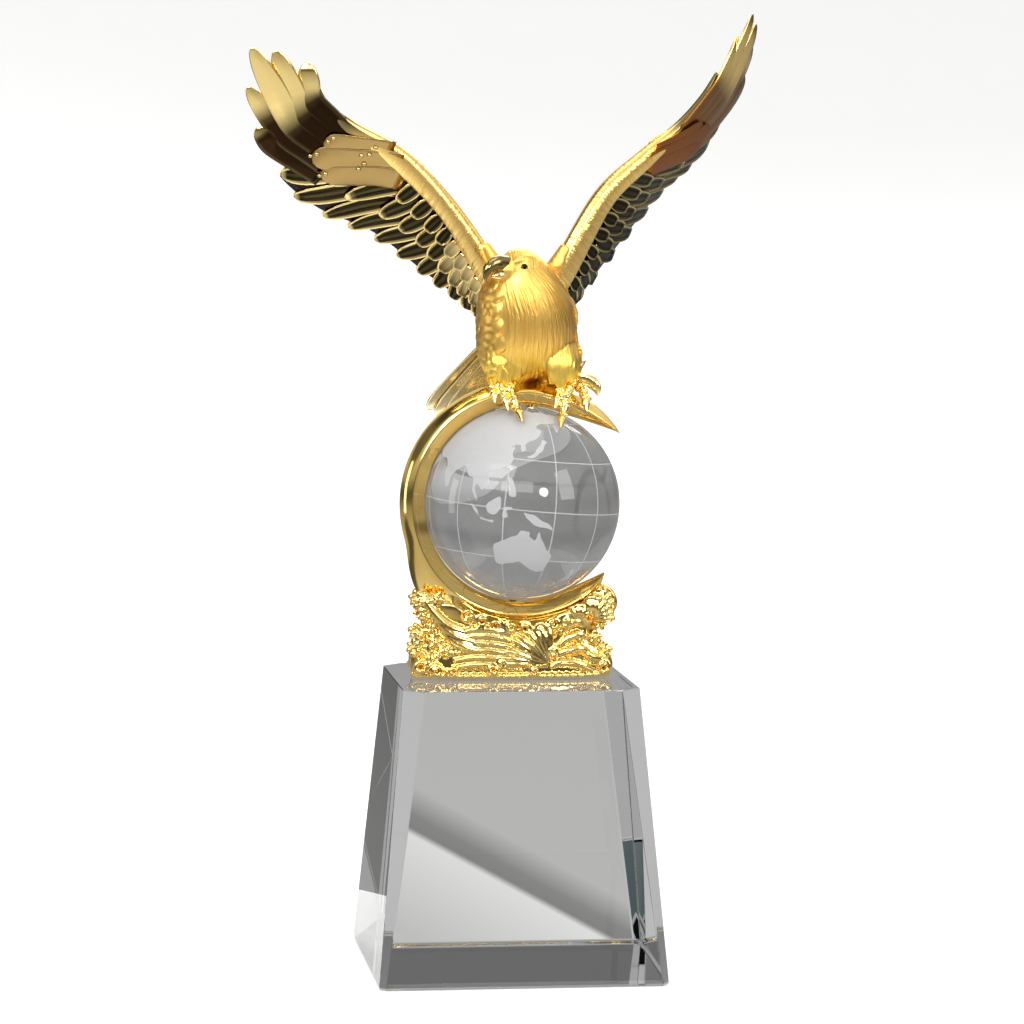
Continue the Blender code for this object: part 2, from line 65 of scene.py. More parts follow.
GLOBE_LOW, GLOBE_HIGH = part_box("globe")
GLOBE_CENTRE = (GLOBE_LOW + GLOBE_HIGH) / 2
BASE_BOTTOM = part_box("wave_base_and_arm")[0].z
AXIS_LEAN = math.radians(5.0)
AXIS = Vector((math.sin(AXIS_LEAN), 0.0, math.cos(AXIS_LEAN)))
EAGLE_UNIT = 1.15 * MM
PERCH = Vector((4.2, 0.0, 179.8)) * MM
YAW = math.radians(20.0)
BODY_ACROSS = np.array((math.cos(YAW), math.sin(YAW), 0.0))
BODY_BACK = np.array((-math.sin(YAW), math.cos(YAW), 0.0))


# Sizes and colours


def length(name, description, default, low, high):
    """A size setting, from millimetres."""
    return bpy.props.FloatProperty(
        name=name, description=description, default=default * MM, min=low * MM, max=high * MM,
        unit="LENGTH", precision=5)


def tone(name, description, *default):
    """A colour setting."""
    return bpy.props.FloatVectorProperty(
        name=name, description=description, default=(*default, 1.0), size=4, subtype="COLOR", min=0, max=1)


class BlockSettings(bpy.types.PropertyGroup):
    """Sizes and colour of the crystal block"""

    edge: length("Edge bevel", "Width of the polished bevel on each edge", 0.35, 0.05, 2)
    tint: tone("Crystal tint", "Colour of light that has passed through the crystal", 0.955, 0.965, 0.97)


class GlobeSettings(bpy.types.PropertyGroup):
    """Sizes and colours of the crystal globe"""

    radius: length("Radius", "Radius of the crystal ball", 30, 10, 60)
    bore: length("Bore radius", "Radius of the holes that the pins turn in", 1.1, 0.5, 3)
    line: length("Line width", "Width of the etched lines", 0.34, 0.1, 1)
    front: bpy.props.FloatProperty(
        name="Front meridian", description="Longitude that faces the front at rest",
        default=math.radians(138), subtype="ANGLE")
    frost: tone("Frosting", "Colour of the etched land and lines", 0.80, 0.80, 0.81)


class GiltSettings(bpy.types.PropertyGroup):
    """Colours of the plated castings"""

    polished: tone("Polished gilt", "Colour of the bright plating", 1.0, 0.74, 0.27)
    satin: tone("Satin gilt", "Colour of the brushed plating on the eagle's body", 1.0, 0.57, 0.115)
    # Painted shade: the near-black that the hollow mark paints on the eagle, in feather hollows, gaps and recesses
    painted_shade: tone("Deep gilt", "Colour in the hollows of the feathers", 0.014, 0.011, 0.005)


class BaseSettings(bpy.types.PropertyGroup):
    """Sizes of the wave base and the crescent arm"""

    width: length("Width", "Width of the wave base", 63.5, 30, 90)
    depth: length("Depth", "Depth of the wave base", 18, 10, 40)
    cast: length("Cast detail", "Size of the finest detail that the castings hold", 0.26, 0.15, 1)


class EagleSettings(bpy.types.PropertyGroup):
    """Sizes of the eagle's feathers"""

    vane: length("Feather thickness", "Height of a flight feather's raised rim", 0.75, 0.2, 3)
    skin: length("Skin detail", "Size of the facets of the body's skin", 0.55, 0.3, 2)
    strands: bpy.props.FloatProperty(
        name="Breast strands", description="Number of hair-fine strands per unit of flow",
        default=15.0, min=4, max=60)


# Shapes


def unit(vectors):
    """Rows of vectors, each made one long."""
    vectors = np.asarray(vectors, float)
    return vectors / np.maximum(np.linalg.norm(vectors, axis=-1, keepdims=True), 1e-12)


def ease(values, start, end):
    """0 before start, 1 after end and smooth between them."""
    t = np.clip((np.asarray(values, float) - start) / (end - start), 0, 1)
    return t * t * (3 - 2 * t)


def spline(values, t):
    """Rows at t from 0 to 1 on a smooth curve through evenly spaced rows."""
    values = np.asarray(values, float)
    last = len(values) - 1
    at = np.clip(np.atleast_1d(t), 0, 1) * last
    i = np.minimum(at.astype(int), last - 1)
    f = at - i
    padded = np.concatenate([[2 * values[0] - values[1]], values, [2 * values[-1] - values[-2]]])
    a, b, c, d = (padded[i + k] for k in range(4))
    if values.ndim > 1:
        f = f[:, None]
    return 0.5 * (2 * b + (c - a) * f + (2 * a - 5 * b + 4 * c - d) * f**2 + (3 * b - a - 3 * c + d) * f**3)


def deselect():
    """Leaves no object selected, in object mode."""
    if bpy.context.object and bpy.context.object.mode != "OBJECT":
        bpy.ops.object.mode_set(mode="OBJECT")
    bpy.ops.object.select_all(action="DESELECT")


def take(obj):
    """Makes obj the one selected and active object."""
    deselect()
    obj.select_set(True)
    bpy.context.view_layer.objects.active = obj


def apply_modifier(obj, kind, **settings):
    """Adds a modifier with these settings and applies it."""
    take(obj)
    modifier = obj.modifiers.new(kind.lower(), kind)
    for name, value in settings.items():
        setattr(modifier, name, value)
    bpy.ops.object.modifier_apply(modifier=modifier.name)


def settle(obj):
    """Applies the object's place, turn and size to its mesh."""
    take(obj)
    bpy.ops.object.transform_apply(location=True, rotation=True, scale=True)


def open_mesh(obj):
    """Starts editing obj's mesh, with all of it selected."""
    take(obj)
    bpy.ops.object.mode_set(mode="EDIT")
    bpy.ops.mesh.select_all(action="SELECT")


def close_up(obj, angle=None):
    """Merges doubled points, points the faces outwards and shades them."""
    open_mesh(obj)
    bpy.ops.mesh.remove_doubles(threshold=0.000004)
    bpy.ops.mesh.normals_make_consistent(inside=False)
    bpy.ops.object.mode_set(mode="OBJECT")
    if angle is None:
        bpy.ops.object.shade_smooth()
    else:
        bpy.ops.object.shade_smooth_by_angle(angle=math.radians(angle))


class Casting:
    """Closed shapes gathered into one piece, with the finish wanted at each point."""

    # hollow carries painted shade: how dark a point is painted, in hollows, gaps and recesses and where the plating
    # mirrors a dark room
    marks = ("hollow", "satin", "flow", "strand")

    def __init__(self):
        self.points, self.faces, self.finish, self.count = [], [], [], 0

    def add(self, points, faces, **finish):
        points = np.asarray(points, float).reshape(-1, 3)
        rows = np.zeros((len(points), len(self.marks)))
        for number, mark in enumerate(self.marks):
            rows[:, number] = np.ravel(finish.get(mark, 0.0))
        self.points.append(points)
        self.finish.append(rows)
        self.faces.extend(tuple(i + self.count for i in face) for face in faces)
        self.count += len(points)

    def loft(self, rings, **finish):
        """Closed skin through rings of the same number of points."""
        rings = np.asarray(rings, float)
        rows, around = rings.shape[:2]
        faces = [tuple(range(around)), tuple(range((rows - 1) * around, rows * around))]
        for r in range(rows - 1):
            for k in range(around):
                j = (k + 1) % around
                near, far = r * around, (r + 1) * around
                faces.append((near + k, near + j, far + j, far + k))
        self.add(rings, faces, **finish)

    def tube(self, path, radii, sides=8, stations=9, flat=1.0, normal=None, **finish):
        """Round or flattened limb along a smooth path."""
        t = np.linspace(0, 1, stations)
        centre, radius = spline(path, t), spline(radii, t)
        along = unit(np.gradient(centre, axis=0))
        side = np.array(normal if normal is not None else (0.3, 1.0, 0.2), float)
        rings = []
        for c, a, r in zip(centre, along, radius):
            side = unit(side - a * (side @ a))
            up = np.cross(a, side)
            angle = 2 * np.pi * np.arange(sides) / sides
            across, rise = np.cos(angle)[:, None] * side * flat, np.sin(angle)[:, None] * up
            rings.append(c + r * (across + rise))
        self.loft(rings, **finish)

    def ball(self, centre, radii, across, up, turn=None, **finish):
        """Ball or egg about a centre."""
        rings = []
        for polar in np.linspace(0.12, math.pi - 0.12, up):
            angle = 2 * np.pi * np.arange(across) / across
            ring = np.stack([np.sin(polar) * np.cos(angle), np.sin(polar) * np.sin(angle),
                             np.full(across, np.cos(polar))], 1) * np.asarray(radii)
            rings.append((ring if turn is None else ring @ np.array(turn).T) + np.asarray(centre))
        self.loft(rings, **finish)

    def piece(self, name, angle=None):
        """The gathered shapes as one object, shaded smooth below an angle in degrees."""
        mesh = bpy.data.meshes.new(name)
        mesh.from_pydata(np.concatenate(self.points).tolist(), [], self.faces)
        finish = np.concatenate(self.finish)
        for number, mark in enumerate(self.marks):
            attribute = mesh.attributes.new(mark, "FLOAT", "POINT")
            attribute.data.foreach_set("value", finish[:, number].copy())
        obj = bpy.data.objects.new(name, mesh)
        bpy.context.collection.objects.link(obj)
        close_up(obj, angle)
        return obj


def fuse(obj, detail, smooth, factor):
    """Melts a piece's shapes into one cast skin."""
    apply_modifier(obj, "REMESH", mode="VOXEL", voxel_size=detail, use_smooth_shade=True)
    apply_modifier(obj, "SMOOTH", factor=factor, iterations=smooth)
    return obj


def points_of(obj, field="co"):
    """Places of a piece's points, or their normals, as rows."""
    out = np.empty(len(obj.data.vertices) * 3)
    obj.data.vertices.foreach_get(field, out)
    return out.reshape(-1, 3)


def move_points(obj, points):
    obj.data.vertices.foreach_set("co", np.asarray(points, float).ravel())
    obj.data.update()


def mark_points(obj, **finish):
    """Writes the finish wanted at each point of a piece."""
    for mark, values in finish.items():
        attribute = obj.data.attributes.get(mark) or obj.data.attributes.new(mark, "FLOAT", "POINT")
        values = np.broadcast_to(np.asarray(values, float), (len(obj.data.vertices),))
        attribute.data.foreach_set("value", values.copy())


def merge(name, objects):
    """Joins finished objects into one piece."""
    take(objects[0])
    for obj in objects[1:]:
        obj.select_set(True)
    bpy.ops.object.join()
    objects[0].name = name
    return objects[0]


# Finishes


class Socket:
    """A socket of a finish's nodes that plain sums can be written with."""

    def __init__(self, finish, socket):
        self.finish, self.socket = finish, socket

    def maths(self, operation, a, b=0.0, c=0.0):
        return self.finish.node("ShaderNodeMath", dict(operation=operation), {0: a, 1: b, 2: c})

    def __add__(self, other):
        return self.maths("ADD", self, other)

    def __sub__(self, other):
        return self.maths("SUBTRACT", self, other)

    def __rsub__(self, other):
        return self.maths("SUBTRACT", other, self)

    def __mul__(self, other):
        return self.maths("MULTIPLY", self, other)

    __radd__, __rmul__ = __add__, __mul__

    def clamp(self):
        return self.finish.node("ShaderNodeClamp", {}, {"Value": self})


class Finish:
    """A material and the nodes it is painted with."""

    def __init__(self, name, **constants):
        self.material = bpy.data.materials.new(name)
        self.material.use_nodes = True
        self.tree = self.material.node_tree
        self.shader = self.tree.nodes["Principled BSDF"]
        for socket, value in constants.items():
            self.shader.inputs[socket.replace("_", " ")].default_value = value

    def node(self, kind, settings, inputs, output=0):
        """Adds a node: its settings first, then the values or links of its sockets."""
        node = self.tree.nodes.new(kind)
        for name, value in settings.items():
            if name == "stops":
                while len(node.color_ramp.elements) < len(value):
                    node.color_ramp.elements.new(0.5)
                for element, (place, colour) in zip(node.color_ramp.elements, value):
                    element.position, element.color = place, colour
            else:
                setattr(node, name, value)
        for name, value in inputs.items():
            self.feed(node.inputs[name], value)
        return None if output is None else Socket(self, node.outputs[output])

    def feed(self, socket, value):
        if isinstance(value, Socket):
            self.tree.links.new(value.socket, socket)
        else:
            socket.default_value = value

    def set(self, **sockets):
        for name, value in sockets.items():
            self.feed(self.shader.inputs[name.replace("_", " ")], value)

    def place(self, scale=(1, 1, 1)):
        """Object coordinates, scaled."""
        spot = self.node("ShaderNodeTexCoord", {}, {}, "Object")
        return self.node("ShaderNodeMapping", {}, {"Vector": spot, "Scale": scale})

    def noise(self, scale, detail=2.0, vector=None, rough=0.5):
        return self.node("ShaderNodeTexNoise", {}, {
            "Vector": vector or self.place(), "Scale": scale, "Detail": detail, "Roughness": rough})

    def mark(self, name):
        """A value carried by the piece's points."""
        return self.node("ShaderNodeAttribute", dict(attribute_name=name), {}, "Fac")

    def blend(self, share, a, b):
        """Colour a where share is 0 and b where it is 1."""
        return self.node("ShaderNodeMix", dict(data_type="RGBA"), {0: share, 6: a, 7: b}, 2)

    def bump(self, height, distance, strength=1.0, normal=None):
        inputs = {"Height": height, "Distance": distance, "Strength": strength}
        if normal is not None:
            inputs["Normal"] = normal
        return self.node("ShaderNodeBump", {}, inputs)


class Sky(Finish):
    """The room round the object, painted by direction."""

    def __init__(self, name):
        self.world = bpy.data.worlds.new(name)
        self.world.use_nodes = True
        self.tree = self.world.node_tree
        self.tree.nodes.clear()
        self.way = self.node("ShaderNodeTexCoord", {}, {}, "Generated")
        self.x, self.y, self.z = (
            self.node("ShaderNodeSeparateXYZ", {}, {0: self.way}, n) for n in range(3))

    def ramp(self, at, stops):
        stops = [(place, (value, value, value * 0.985, 1)) for place, value in stops]
        return self.node("ShaderNodeValToRGB", dict(stops=stops), {0: at})

    def step(self, value, low, high):
        return self.node("ShaderNodeMapRange", dict(interpolation_type="SMOOTHSTEP"),
                         {"Value": value, "From Min": low, "From Max": high})

    def spot(self, colour, way, wide, share, dark):
        """Darkens the room round one direction, over this many degrees."""
        near = self.node("ShaderNodeVectorMath", dict(operation="DOT_PRODUCT"),
                         {0: self.way, 1: Vector(way).normalized()}, 1)
        near = self.step(near, math.cos(math.radians(wide)), math.cos(math.radians(wide * 0.55)))
        return self.blend(near * share, colour, dark)


def wear(obj, material, body, slot, *nodes):
    """Gives a piece its finish, the body it rides on and the CAD nodes it stands for."""
    obj.data.materials.clear()
    obj.data.materials.append(material)
    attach(obj, body)
    if nodes:
        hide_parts(*nodes)


def mix_crystal(name, tint):
    """Clear polished crystal, with the faint haze that handling leaves."""
    finish = Finish(name, Transmission_Weight=1.0, IOR=1.52, Specular_IOR_Level=0.5)
    haze = finish.noise(60.0, 4.0)
    finish.set(Base_Color=finish.blend(haze, tint, [c * 0.985 for c in tint[:3]] + [1]),
               Roughness=(haze - 0.45).clamp() * 0.03)
    return finish.material


def mix_frosting(name, colour):
    """Etched white frosting, grainy and slightly see-through."""
    finish = Finish(name, Roughness=0.75, Alpha=0.5, Specular_IOR_Level=0.3)
    grain = finish.noise(2600.0, 3.0)
    darker = [c * 0.86 for c in colour[:3]] + [1]
    finish.set(Base_Color=finish.blend(grain, darker, colour), Roughness=grain * 0.2 + 0.6,
               Normal=finish.bump(grain, 0.04 * MM, 0.5))
    return finish.material


def mix_polished(name, colours):
    """Bright plating over a casting: clean, with a slow ripple, and painted shade darkening its hollows."""
    finish = Finish(name, Metallic=1.0)
    ripple = finish.noise(140.0, 2.0)
    grain = finish.noise(1500.0, 3.0)
    warm = [colours.polished[0], colours.polished[1] * 0.90, colours.polished[2] * 0.66, 1]
    colour = finish.blend(ripple, colours.polished, warm)
    # Painted shade: points marked hollow are painted darker and browner
    hollow = finish.mark("hollow")
    colour = finish.blend(hollow * 0.7, colour, (0.56, 0.29, 0.055, 1))
    finish.set(Base_Color=colour, Roughness=grain * 0.05 + ripple * 0.05 + hollow * 0.1 + 0.04,
               Normal=finish.bump(ripple, 0.25 * MM, 0.35))
    return finish.material


# Height below which the belly gets a painted highlight
BELLY_HIGHLIGHT_HEIGHT = 0.1945


def mix_plumage(name, colours, strands, painted_highlight=0.0):
    """Plating of the eagle: satin body, bright flight feathers and painted shade in the hollows.

    The hollow (painted shade), satin, flow and strand values come from the piece's points.
    """
    finish = Finish(name, Metallic=1.0)
    hollow, satin = finish.mark("hollow"), finish.mark("satin")
    flow, strand = finish.mark("flow"), finish.mark("strand")
    soft = finish.noise(220.0, 3.0)
    grain = finish.noise(2800.0, 3.0)
    waver = finish.noise(260.0, 2.0)
    up = finish.node("ShaderNodeSeparateXYZ", {}, {0: finish.place()}, 2)
    along = flow * strands + waver * 1.1
    combed = finish.node("ShaderNodeCombineXYZ", {}, {0: along, 1: up * 90.0})
    lines = ((finish.noise(1.0, 2.0, combed, 0.55) - 0.32) * 2.8).clamp()
    hair = lines * strand
    pale = [min(1.0, colours.satin[0] * 1.05), colours.satin[1] * 1.18, colours.satin[2] * 1.5, 1]
    matt = finish.blend(soft, colours.satin, pale)
    # Painted shade in the grooves between the raised strands
    matt = finish.blend((strand - hair).clamp() * 0.42, matt, (0.66, 0.30, 0.05, 1))
    # The belly is painted yellower and brighter below this height, a painted highlight
    matt = finish.blend(((BELLY_HIGHLIGHT_HEIGHT - up) * 80.0).clamp() * 0.75, matt, (1.0, 0.74, 0.13, 1))
    bright = finish.blend(soft, colours.polished, (0.95, 0.76, 0.36, 1))
    colour = finish.blend(satin, bright, matt)
    # Painted highlight: the colour is painted paler and whiter by this share
    if painted_highlight:
        colour = finish.blend(painted_highlight, colour, (1.0, 0.88, 0.56, 1))
    # Painted shade: hollow paints near-black, turning dark red where the plating is satin
    colour = finish.blend(hollow, colour, finish.blend(satin, colours.painted_shade, (0.16, 0.022, 0.003, 1)))
    finish.set(Base_Color=colour,
               Roughness=satin * 0.27 + grain * 0.06 + hollow * 0.05 + 0.07,
               Normal=finish.bump(hair, 0.30 * MM, 0.8, finish.bump(grain * satin, 0.02 * MM, 0.6)))
    return finish.material


# Crystal block


class TROPHY_OT_block(bpy.types.Operator):
    """Model the clear crystal block with its cut corners and polished edges"""

    bl_idname = "trophy.block"
    bl_label = "Crystal block"

    def execute(self, context):
        settings = context.scene.trophy_block
        deselect()
        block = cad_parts["crystal_block"].copy()
        block.data = block.data.copy()
        block.parent = None
        for key in list(block.keys()):
            del block[key]
        context.collection.objects.link(block)
        block.name = block.data.name = "clear_block"
        open_mesh(block)
        bpy.ops.mesh.remove_doubles(threshold=0.01 * MM)
        bpy.ops.mesh.dissolve_limited(angle_limit=math.radians(1.0))
        bpy.ops.mesh.bevel(offset=settings.edge, segments=3, profile=0.5)
        bpy.ops.object.mode_set(mode="OBJECT")
        bpy.ops.object.shade_smooth_by_angle(angle=math.radians(12))
        apply_modifier(block, "WEIGHTED_NORMAL", keep_sharp=True)
        crystal = mix_crystal("clear_crystal_looks", list(settings.tint))
        wear(block, crystal, "stand", "clear_crystal", "crystal_block")
        return {"FINISHED"}


# Globe

# Coasts of the land on the globe, as longitude and latitude
LAND = {
    "eurasia": ((-9, 37), (-9, 43), (-2, 43.5), (-4, 48.5), (2, 51), (8, 54), (9, 57), (12, 54.5), (20, 55),
                (24, 59), (30, 60), (22, 60), (22, 63), (25, 65.5), (20, 63.5), (17, 61), (18, 59.5), (13, 55.5),
                (10, 59), (5, 60), (6, 62.5), (13, 66), (20, 70), (28, 71), (41, 67), (40, 64.5), (45, 67.5),
                (55, 68.5), (67, 68.5), (70, 73), (80, 73), (95, 76), (104, 77.5), (113, 74), (130, 71),
                (140, 72.5), (160, 70), (170, 70), (180, 68.5), (189, 66), (180, 62.5), (170, 60), (163, 58),
                (162, 55.5), (157, 51), (156, 57), (163, 61), (155, 59.5), (143, 59), (136, 54.5), (141, 52.5),
                (140, 48), (132, 43), (128, 40), (129.5, 36), (126.5, 34.5), (125, 39.5), (121, 39.5),
                (118, 38.5), (122, 37), (120, 34), (122, 30.5), (118, 24.5), (110, 21), (107, 20), (109, 12),
                (105, 9), (101, 13), (100, 9.5), (103.5, 1.5), (98.5, 8.5), (98, 15.5), (94, 16.5), (90, 22),
                (86.5, 20.5), (80, 14.5), (80, 9), (77, 8), (73, 17), (72.5, 21), (67, 25), (57, 26.5), (51, 29),
                (48, 30), (51, 25.5), (56, 26), (59.5, 22.5), (52, 15.5), (44, 12.8), (39, 21), (34.5, 28),
                (34.5, 31.5), (36, 36), (30, 36.5), (27, 37), (26, 40), (23, 38), (22.5, 36.5), (19.5, 40),
                (13.5, 45), (12.5, 44), (18, 40.5), (16, 38), (12, 42), (9, 44.3), (3, 43), (0, 39.5), (-2, 36.8)),
    "africa": ((-6, 35.5), (10, 37), (11, 33.5), (20, 31), (25, 32), (32, 31), (34, 27), (37, 21), (39, 16),
               (43, 11.5), (51, 12), (47, 4), (40, -3), (40, -10), (35, -20), (33, -26), (27, -34), (19, -34.5),
               (15, -27), (12, -18), (13, -8), (9, -1), (9, 4), (4, 6.3), (-8, 4.5), (-13, 8.5), (-17, 14),
               (-16.5, 21), (-10, 29)),
    "madagascar": ((49, -12), (50, -16), (47, -25), (44, -24), (44, -17)),
    "north_america": ((-168, 66), (-157, 71), (-141, 69.7), (-128, 70), (-115, 68), (-95, 68), (-85, 69),
                      (-81, 67.5), (-87, 64.5), (-94, 60), (-92, 57), (-82, 55), (-79, 51.5), (-77, 56),
                      (-78, 62), (-70, 61), (-65, 59), (-56, 53), (-60, 50), (-66, 50), (-65, 48), (-61, 46),
                      (-70, 43.5), (-70, 42), (-74, 40), (-76, 36.5), (-81, 31.5), (-80, 26), (-82, 27),
                      (-84, 30), (-90, 29.5), (-97, 27.5), (-97, 22), (-94, 18), (-90, 21), (-87, 21),
                      (-88, 16), (-83.5, 15), (-83, 10), (-78, 9), (-83, 8.2), (-92, 14.5), (-105, 20),
                      (-109, 26), (-113, 31), (-110, 23.5), (-115, 29), (-118, 34), (-124, 40), (-124, 48),
                      (-131, 54), (-140, 59.5), (-150, 60), (-158, 57), (-153, 60), (-161, 59), (-166, 62)),
    "greenland": ((-45, 60), (-52, 65), (-54, 70), (-70, 76.5), (-60, 82), (-35, 83.5), (-18, 80), (-22, 72),
                  (-40, 65)),
    "south_america": ((-78, 8.6), (-72, 12), (-62, 10.5), (-51, 4), (-44, -2.5), (-35, -6), (-39, -15),
                      (-41, -22), (-48, -26), (-53, -33), (-58, -35), (-57, -38), (-63, -41), (-66, -47), (-69, -53),
                      (-75, -50), (-73, -40), (-71, -30), (-70, -18), (-76, -14), (-81, -5), (-80, 1)),
    "australia": ((114, -22), (122, -18), (129, -15), (131, -11.5), (136, -12), (136, -15), (140, -17.5),
                  (142, -11), (146, -19), (153, -26), (150, -37), (144, -38.5), (140, -37), (136, -34.5),
                  (131, -31.5), (124, -33.5), (115, -34.5)),
    "new_guinea": ((131, -1), (138, -2), (147, -6.5), (150, -10.5), (143, -9), (138, -8), (133, -4)),
    "borneo": ((109, 1.5), (117, 7), (118, 1), (115, -4), (110, -3)),
    "sumatra": ((95, 5.5), (104, -2), (105.5, -6), (101, -2.5)),
    "java": ((105.5, -6.2), (114.5, -7.2), (114, -9), (106, -7.6)),
    "sulawesi": ((119, -5), (120, 1), (125, 1.3), (121, -1), (122.5, -5)),
    "philippines": ((120, 18), (122.5, 18), (126.5, 7.5), (122, 7.5), (122, 13)),
    "japan": ((130, 32), (136, 35.5), (139, 40), (141, 45), (145.5, 43.5), (141.5, 37), (138, 34),
              (132, 31)),
    "new_zealand": ((173, -34.5), (178, -38), (172, -44), (167, -46.5), (171, -42), (174, -39.5)),
    "britain": ((-5, 50), (1, 51.5), (-2, 57.5), (-5, 58.5), (-3, 54)),
    "iceland": ((-22, 64), (-15, 65), (-20, 66.5)),
    "arctic_east": ((-63, 65), (-68, 70), (-80, 74), (-88, 72), (-76, 66)),
    "arctic_west": ((-115, 70), (-102, 69), (-105, 73), (-118, 73)),
    "arctic_north": ((-80, 76), (-65, 81), (-75, 83), (-90, 81)),
}


def globe_point(longitude, latitude, radius, front):
    """Point of the globe at rest, from degrees east and north."""
    east = np.radians(np.asarray(longitude, float)) - front - math.pi / 2
    north = np.radians(np.asarray(latitude, float))
    local = np.stack([np.cos(north) * np.cos(east), np.cos(north) * np.sin(east), np.sin(north)], -1)
    turn = np.array(Matrix.Rotation(AXIS_LEAN, 3, "Y"))
    return local @ turn.T * radius + np.array(GLOBE_CENTRE)


def rounded_coast(coast):
    """A coast with its corners rounded off and small bays added."""
    chance = random.Random(len(coast))
    points = [Vector(point) for point in coast]
    rough = []
    for a, b in zip(points, points[1:] + points[:1]):
        across = Vector((a.y - b.y, b.x - a.x))
        rough += [a, a.lerp(b, 0.5) + across * chance.uniform(-0.13, 0.13)]
    out = []
    for a, b in zip(rough, rough[1:] + rough[:1]):
        out += [a.lerp(b, 0.25), a.lerp(b, 0.75)]
    return out


PLATE_RISE = 0.030 * MM
PLATE_GRID = 4


def land_plate(cast, coast, radius, front):
    """Thin frosted plate in the shape of a coast, let into the crystal."""
    coast = rounded_coast(coast)
    count = len(coast)
    inner = []
    low_x, high_x = min(p.x for p in coast), max(p.x for p in coast)
    low_y, high_y = min(p.y for p in coast), max(p.y for p in coast)
    # Points inside the coast, every few degrees, let the plate follow the ball
    for x in np.arange(math.ceil(low_x / PLATE_GRID) * PLATE_GRID, high_x, PLATE_GRID):
        for y in np.arange(math.ceil(low_y / PLATE_GRID) * PLATE_GRID, high_y, PLATE_GRID):
            inner.append(Vector((x + 0.3, y + 0.2)))
    edges = [(i, (i + 1) % count) for i in range(count)]
    points, _, faces, *_ = delaunay_2d_cdt(coast + inner, edges, [list(range(count))], 1, 0.01)
    flat = np.array([tuple(p) for p in points])
    total = len(flat)
    top = globe_point(flat[:, 0], flat[:, 1], radius + PLATE_RISE, front)
    low = globe_point(flat[:, 0], flat[:, 1], radius - PLATE_RISE, front)
    rim = {}
    for face in faces:
        for a, b in zip(face, list(face[1:]) + [face[0]]):
            if (b, a) in rim:
                del rim[(b, a)]
            else:
                rim[(a, b)] = True
    solid = [tuple(face) for face in faces]
    solid += [tuple(i + total for i in reversed(face)) for face in faces]
    solid += [(b, a, a + total, b + total) for a, b in rim]
    cast.add(np.concatenate([top, low]), solid)


def etched_line(cast, longitudes, latitudes, width, radius, front, closed):
    """Thin etched line through points of the globe, as a low strip."""
    centre = globe_point(longitudes, latitudes, 1.0, front) - np.array(GLOBE_CENTRE)
    if closed:
        along = unit(np.roll(centre, -1, 0) - np.roll(centre, 1, 0))
    else:
        along = unit(np.gradient(centre, axis=0))
    side = np.cross(along, centre)
    rings = []
    for across, height in ((-1, -0.02), (-1, 0.022), (1, 0.022), (1, -0.02)):
        row = centre * (radius + height * MM) + side * (across * width / 2)
        rings.append(row + np.array(GLOBE_CENTRE))
    rings = np.stack(rings, 1)
    if not closed:
        cast.loft(rings)
        return
    count = len(rings)
    faces = []
    for r in range(count):
        for k in range(4):
            j, n = (k + 1) % 4, (r + 1) % count
            faces.append((r * 4 + k, r * 4 + j, n * 4 + j, n * 4 + k))
    cast.add(rings, faces)


BORE_DEPTH = 4.8 * MM


def sink_bore(globe, way, bore, lip):
    """Sinks the hole for a pin into one pole of the ball, which has its centre at the origin."""
    heights = sorted({round(float(z), 7) for z in points_of(globe)[:, 2] * way}, reverse=True)
    next_ring = heights[1]
    for vert in globe.data.vertices:
        if abs(vert.co.z * way - next_ring) < 1e-6:
            flat = math.hypot(vert.co.x, vert.co.y)
            vert.co = Vector((vert.co.x / flat * bore, vert.co.y / flat * bore, way * lip))
        elif vert.co.z * way > next_ring:
            vert.co.z = way * lip
    take(globe)
    bpy.ops.object.mode_set(mode="EDIT")
    bpy.ops.mesh.select_mode(type="FACE")
    bpy.ops.mesh.select_all(action="DESELECT")
    bpy.ops.object.mode_set(mode="OBJECT")
    for face in globe.data.polygons:
        inside = math.hypot(face.center.x, face.center.y) < bore
        face.select = face.center.z * way > lip - 0.01 * MM and inside
    bpy.ops.object.mode_set(mode="EDIT")
    bpy.ops.mesh.extrude_region_move(TRANSFORM_OT_translate=dict(value=(0, 0, -way * BORE_DEPTH)))
    bpy.ops.mesh.select_all(action="DESELECT")
    bpy.ops.object.mode_set(mode="OBJECT")


class TROPHY_OT_globe(bpy.types.Operator):
    """Model the crystal globe with its two bores, its etched land and its lines"""

    bl_idname = "trophy.globe"
    bl_label = "Crystal globe"

    def execute(self, context):
        settings = context.scene.trophy_globe
        radius, front, line = settings.radius, settings.front, settings.line
        deselect()
        bpy.ops.mesh.primitive_uv_sphere_add(segments=96, ring_count=64, radius=radius, location=(0, 0, 0))
        globe = context.object
        globe.name = globe.data.name = "crystal_globe"
        for way in (1, -1):
            sink_bore(globe, way, settings.bore, math.sqrt(radius**2 - settings.bore**2))
        globe.location = GLOBE_CENTRE
        globe.rotation_euler = (0.0, AXIS_LEAN, 0.0)
        settle(globe)
        bpy.ops.object.shade_smooth_by_angle(angle=math.radians(30))
        crystal = mix_crystal("globe_crystal_looks", (0.965, 0.97, 0.975, 1.0))
        wear(globe, crystal, "globe", "globe_crystal", "globe")

        etching = Casting()
        for coast in LAND.values():
            land_plate(etching, coast, radius, front)
        around = np.linspace(-180, 180, 121)[:-1]
        for latitude in (-60, -30, 0, 30, 60):
            etched_line(etching, around, np.full(len(around), latitude), line, radius, front, True)
        up = np.linspace(-84, 84, 71)
        for longitude in range(0, 360, 30):
            etched_line(etching, np.full(len(up), longitude), up, line, radius, front, False)
        frosting = mix_frosting("frosting_looks", list(settings.frost))
        wear(etching.piece("etched_map", 40), frosting, "globe", "globe_crystal", "globe")
        return {"FINISHED"}


PIN_RADIUS = 0.8 * MM
# Where a pin starts and ends, in millimetres from the globe's centre
PIN_REACH = (25.5, 33.3)


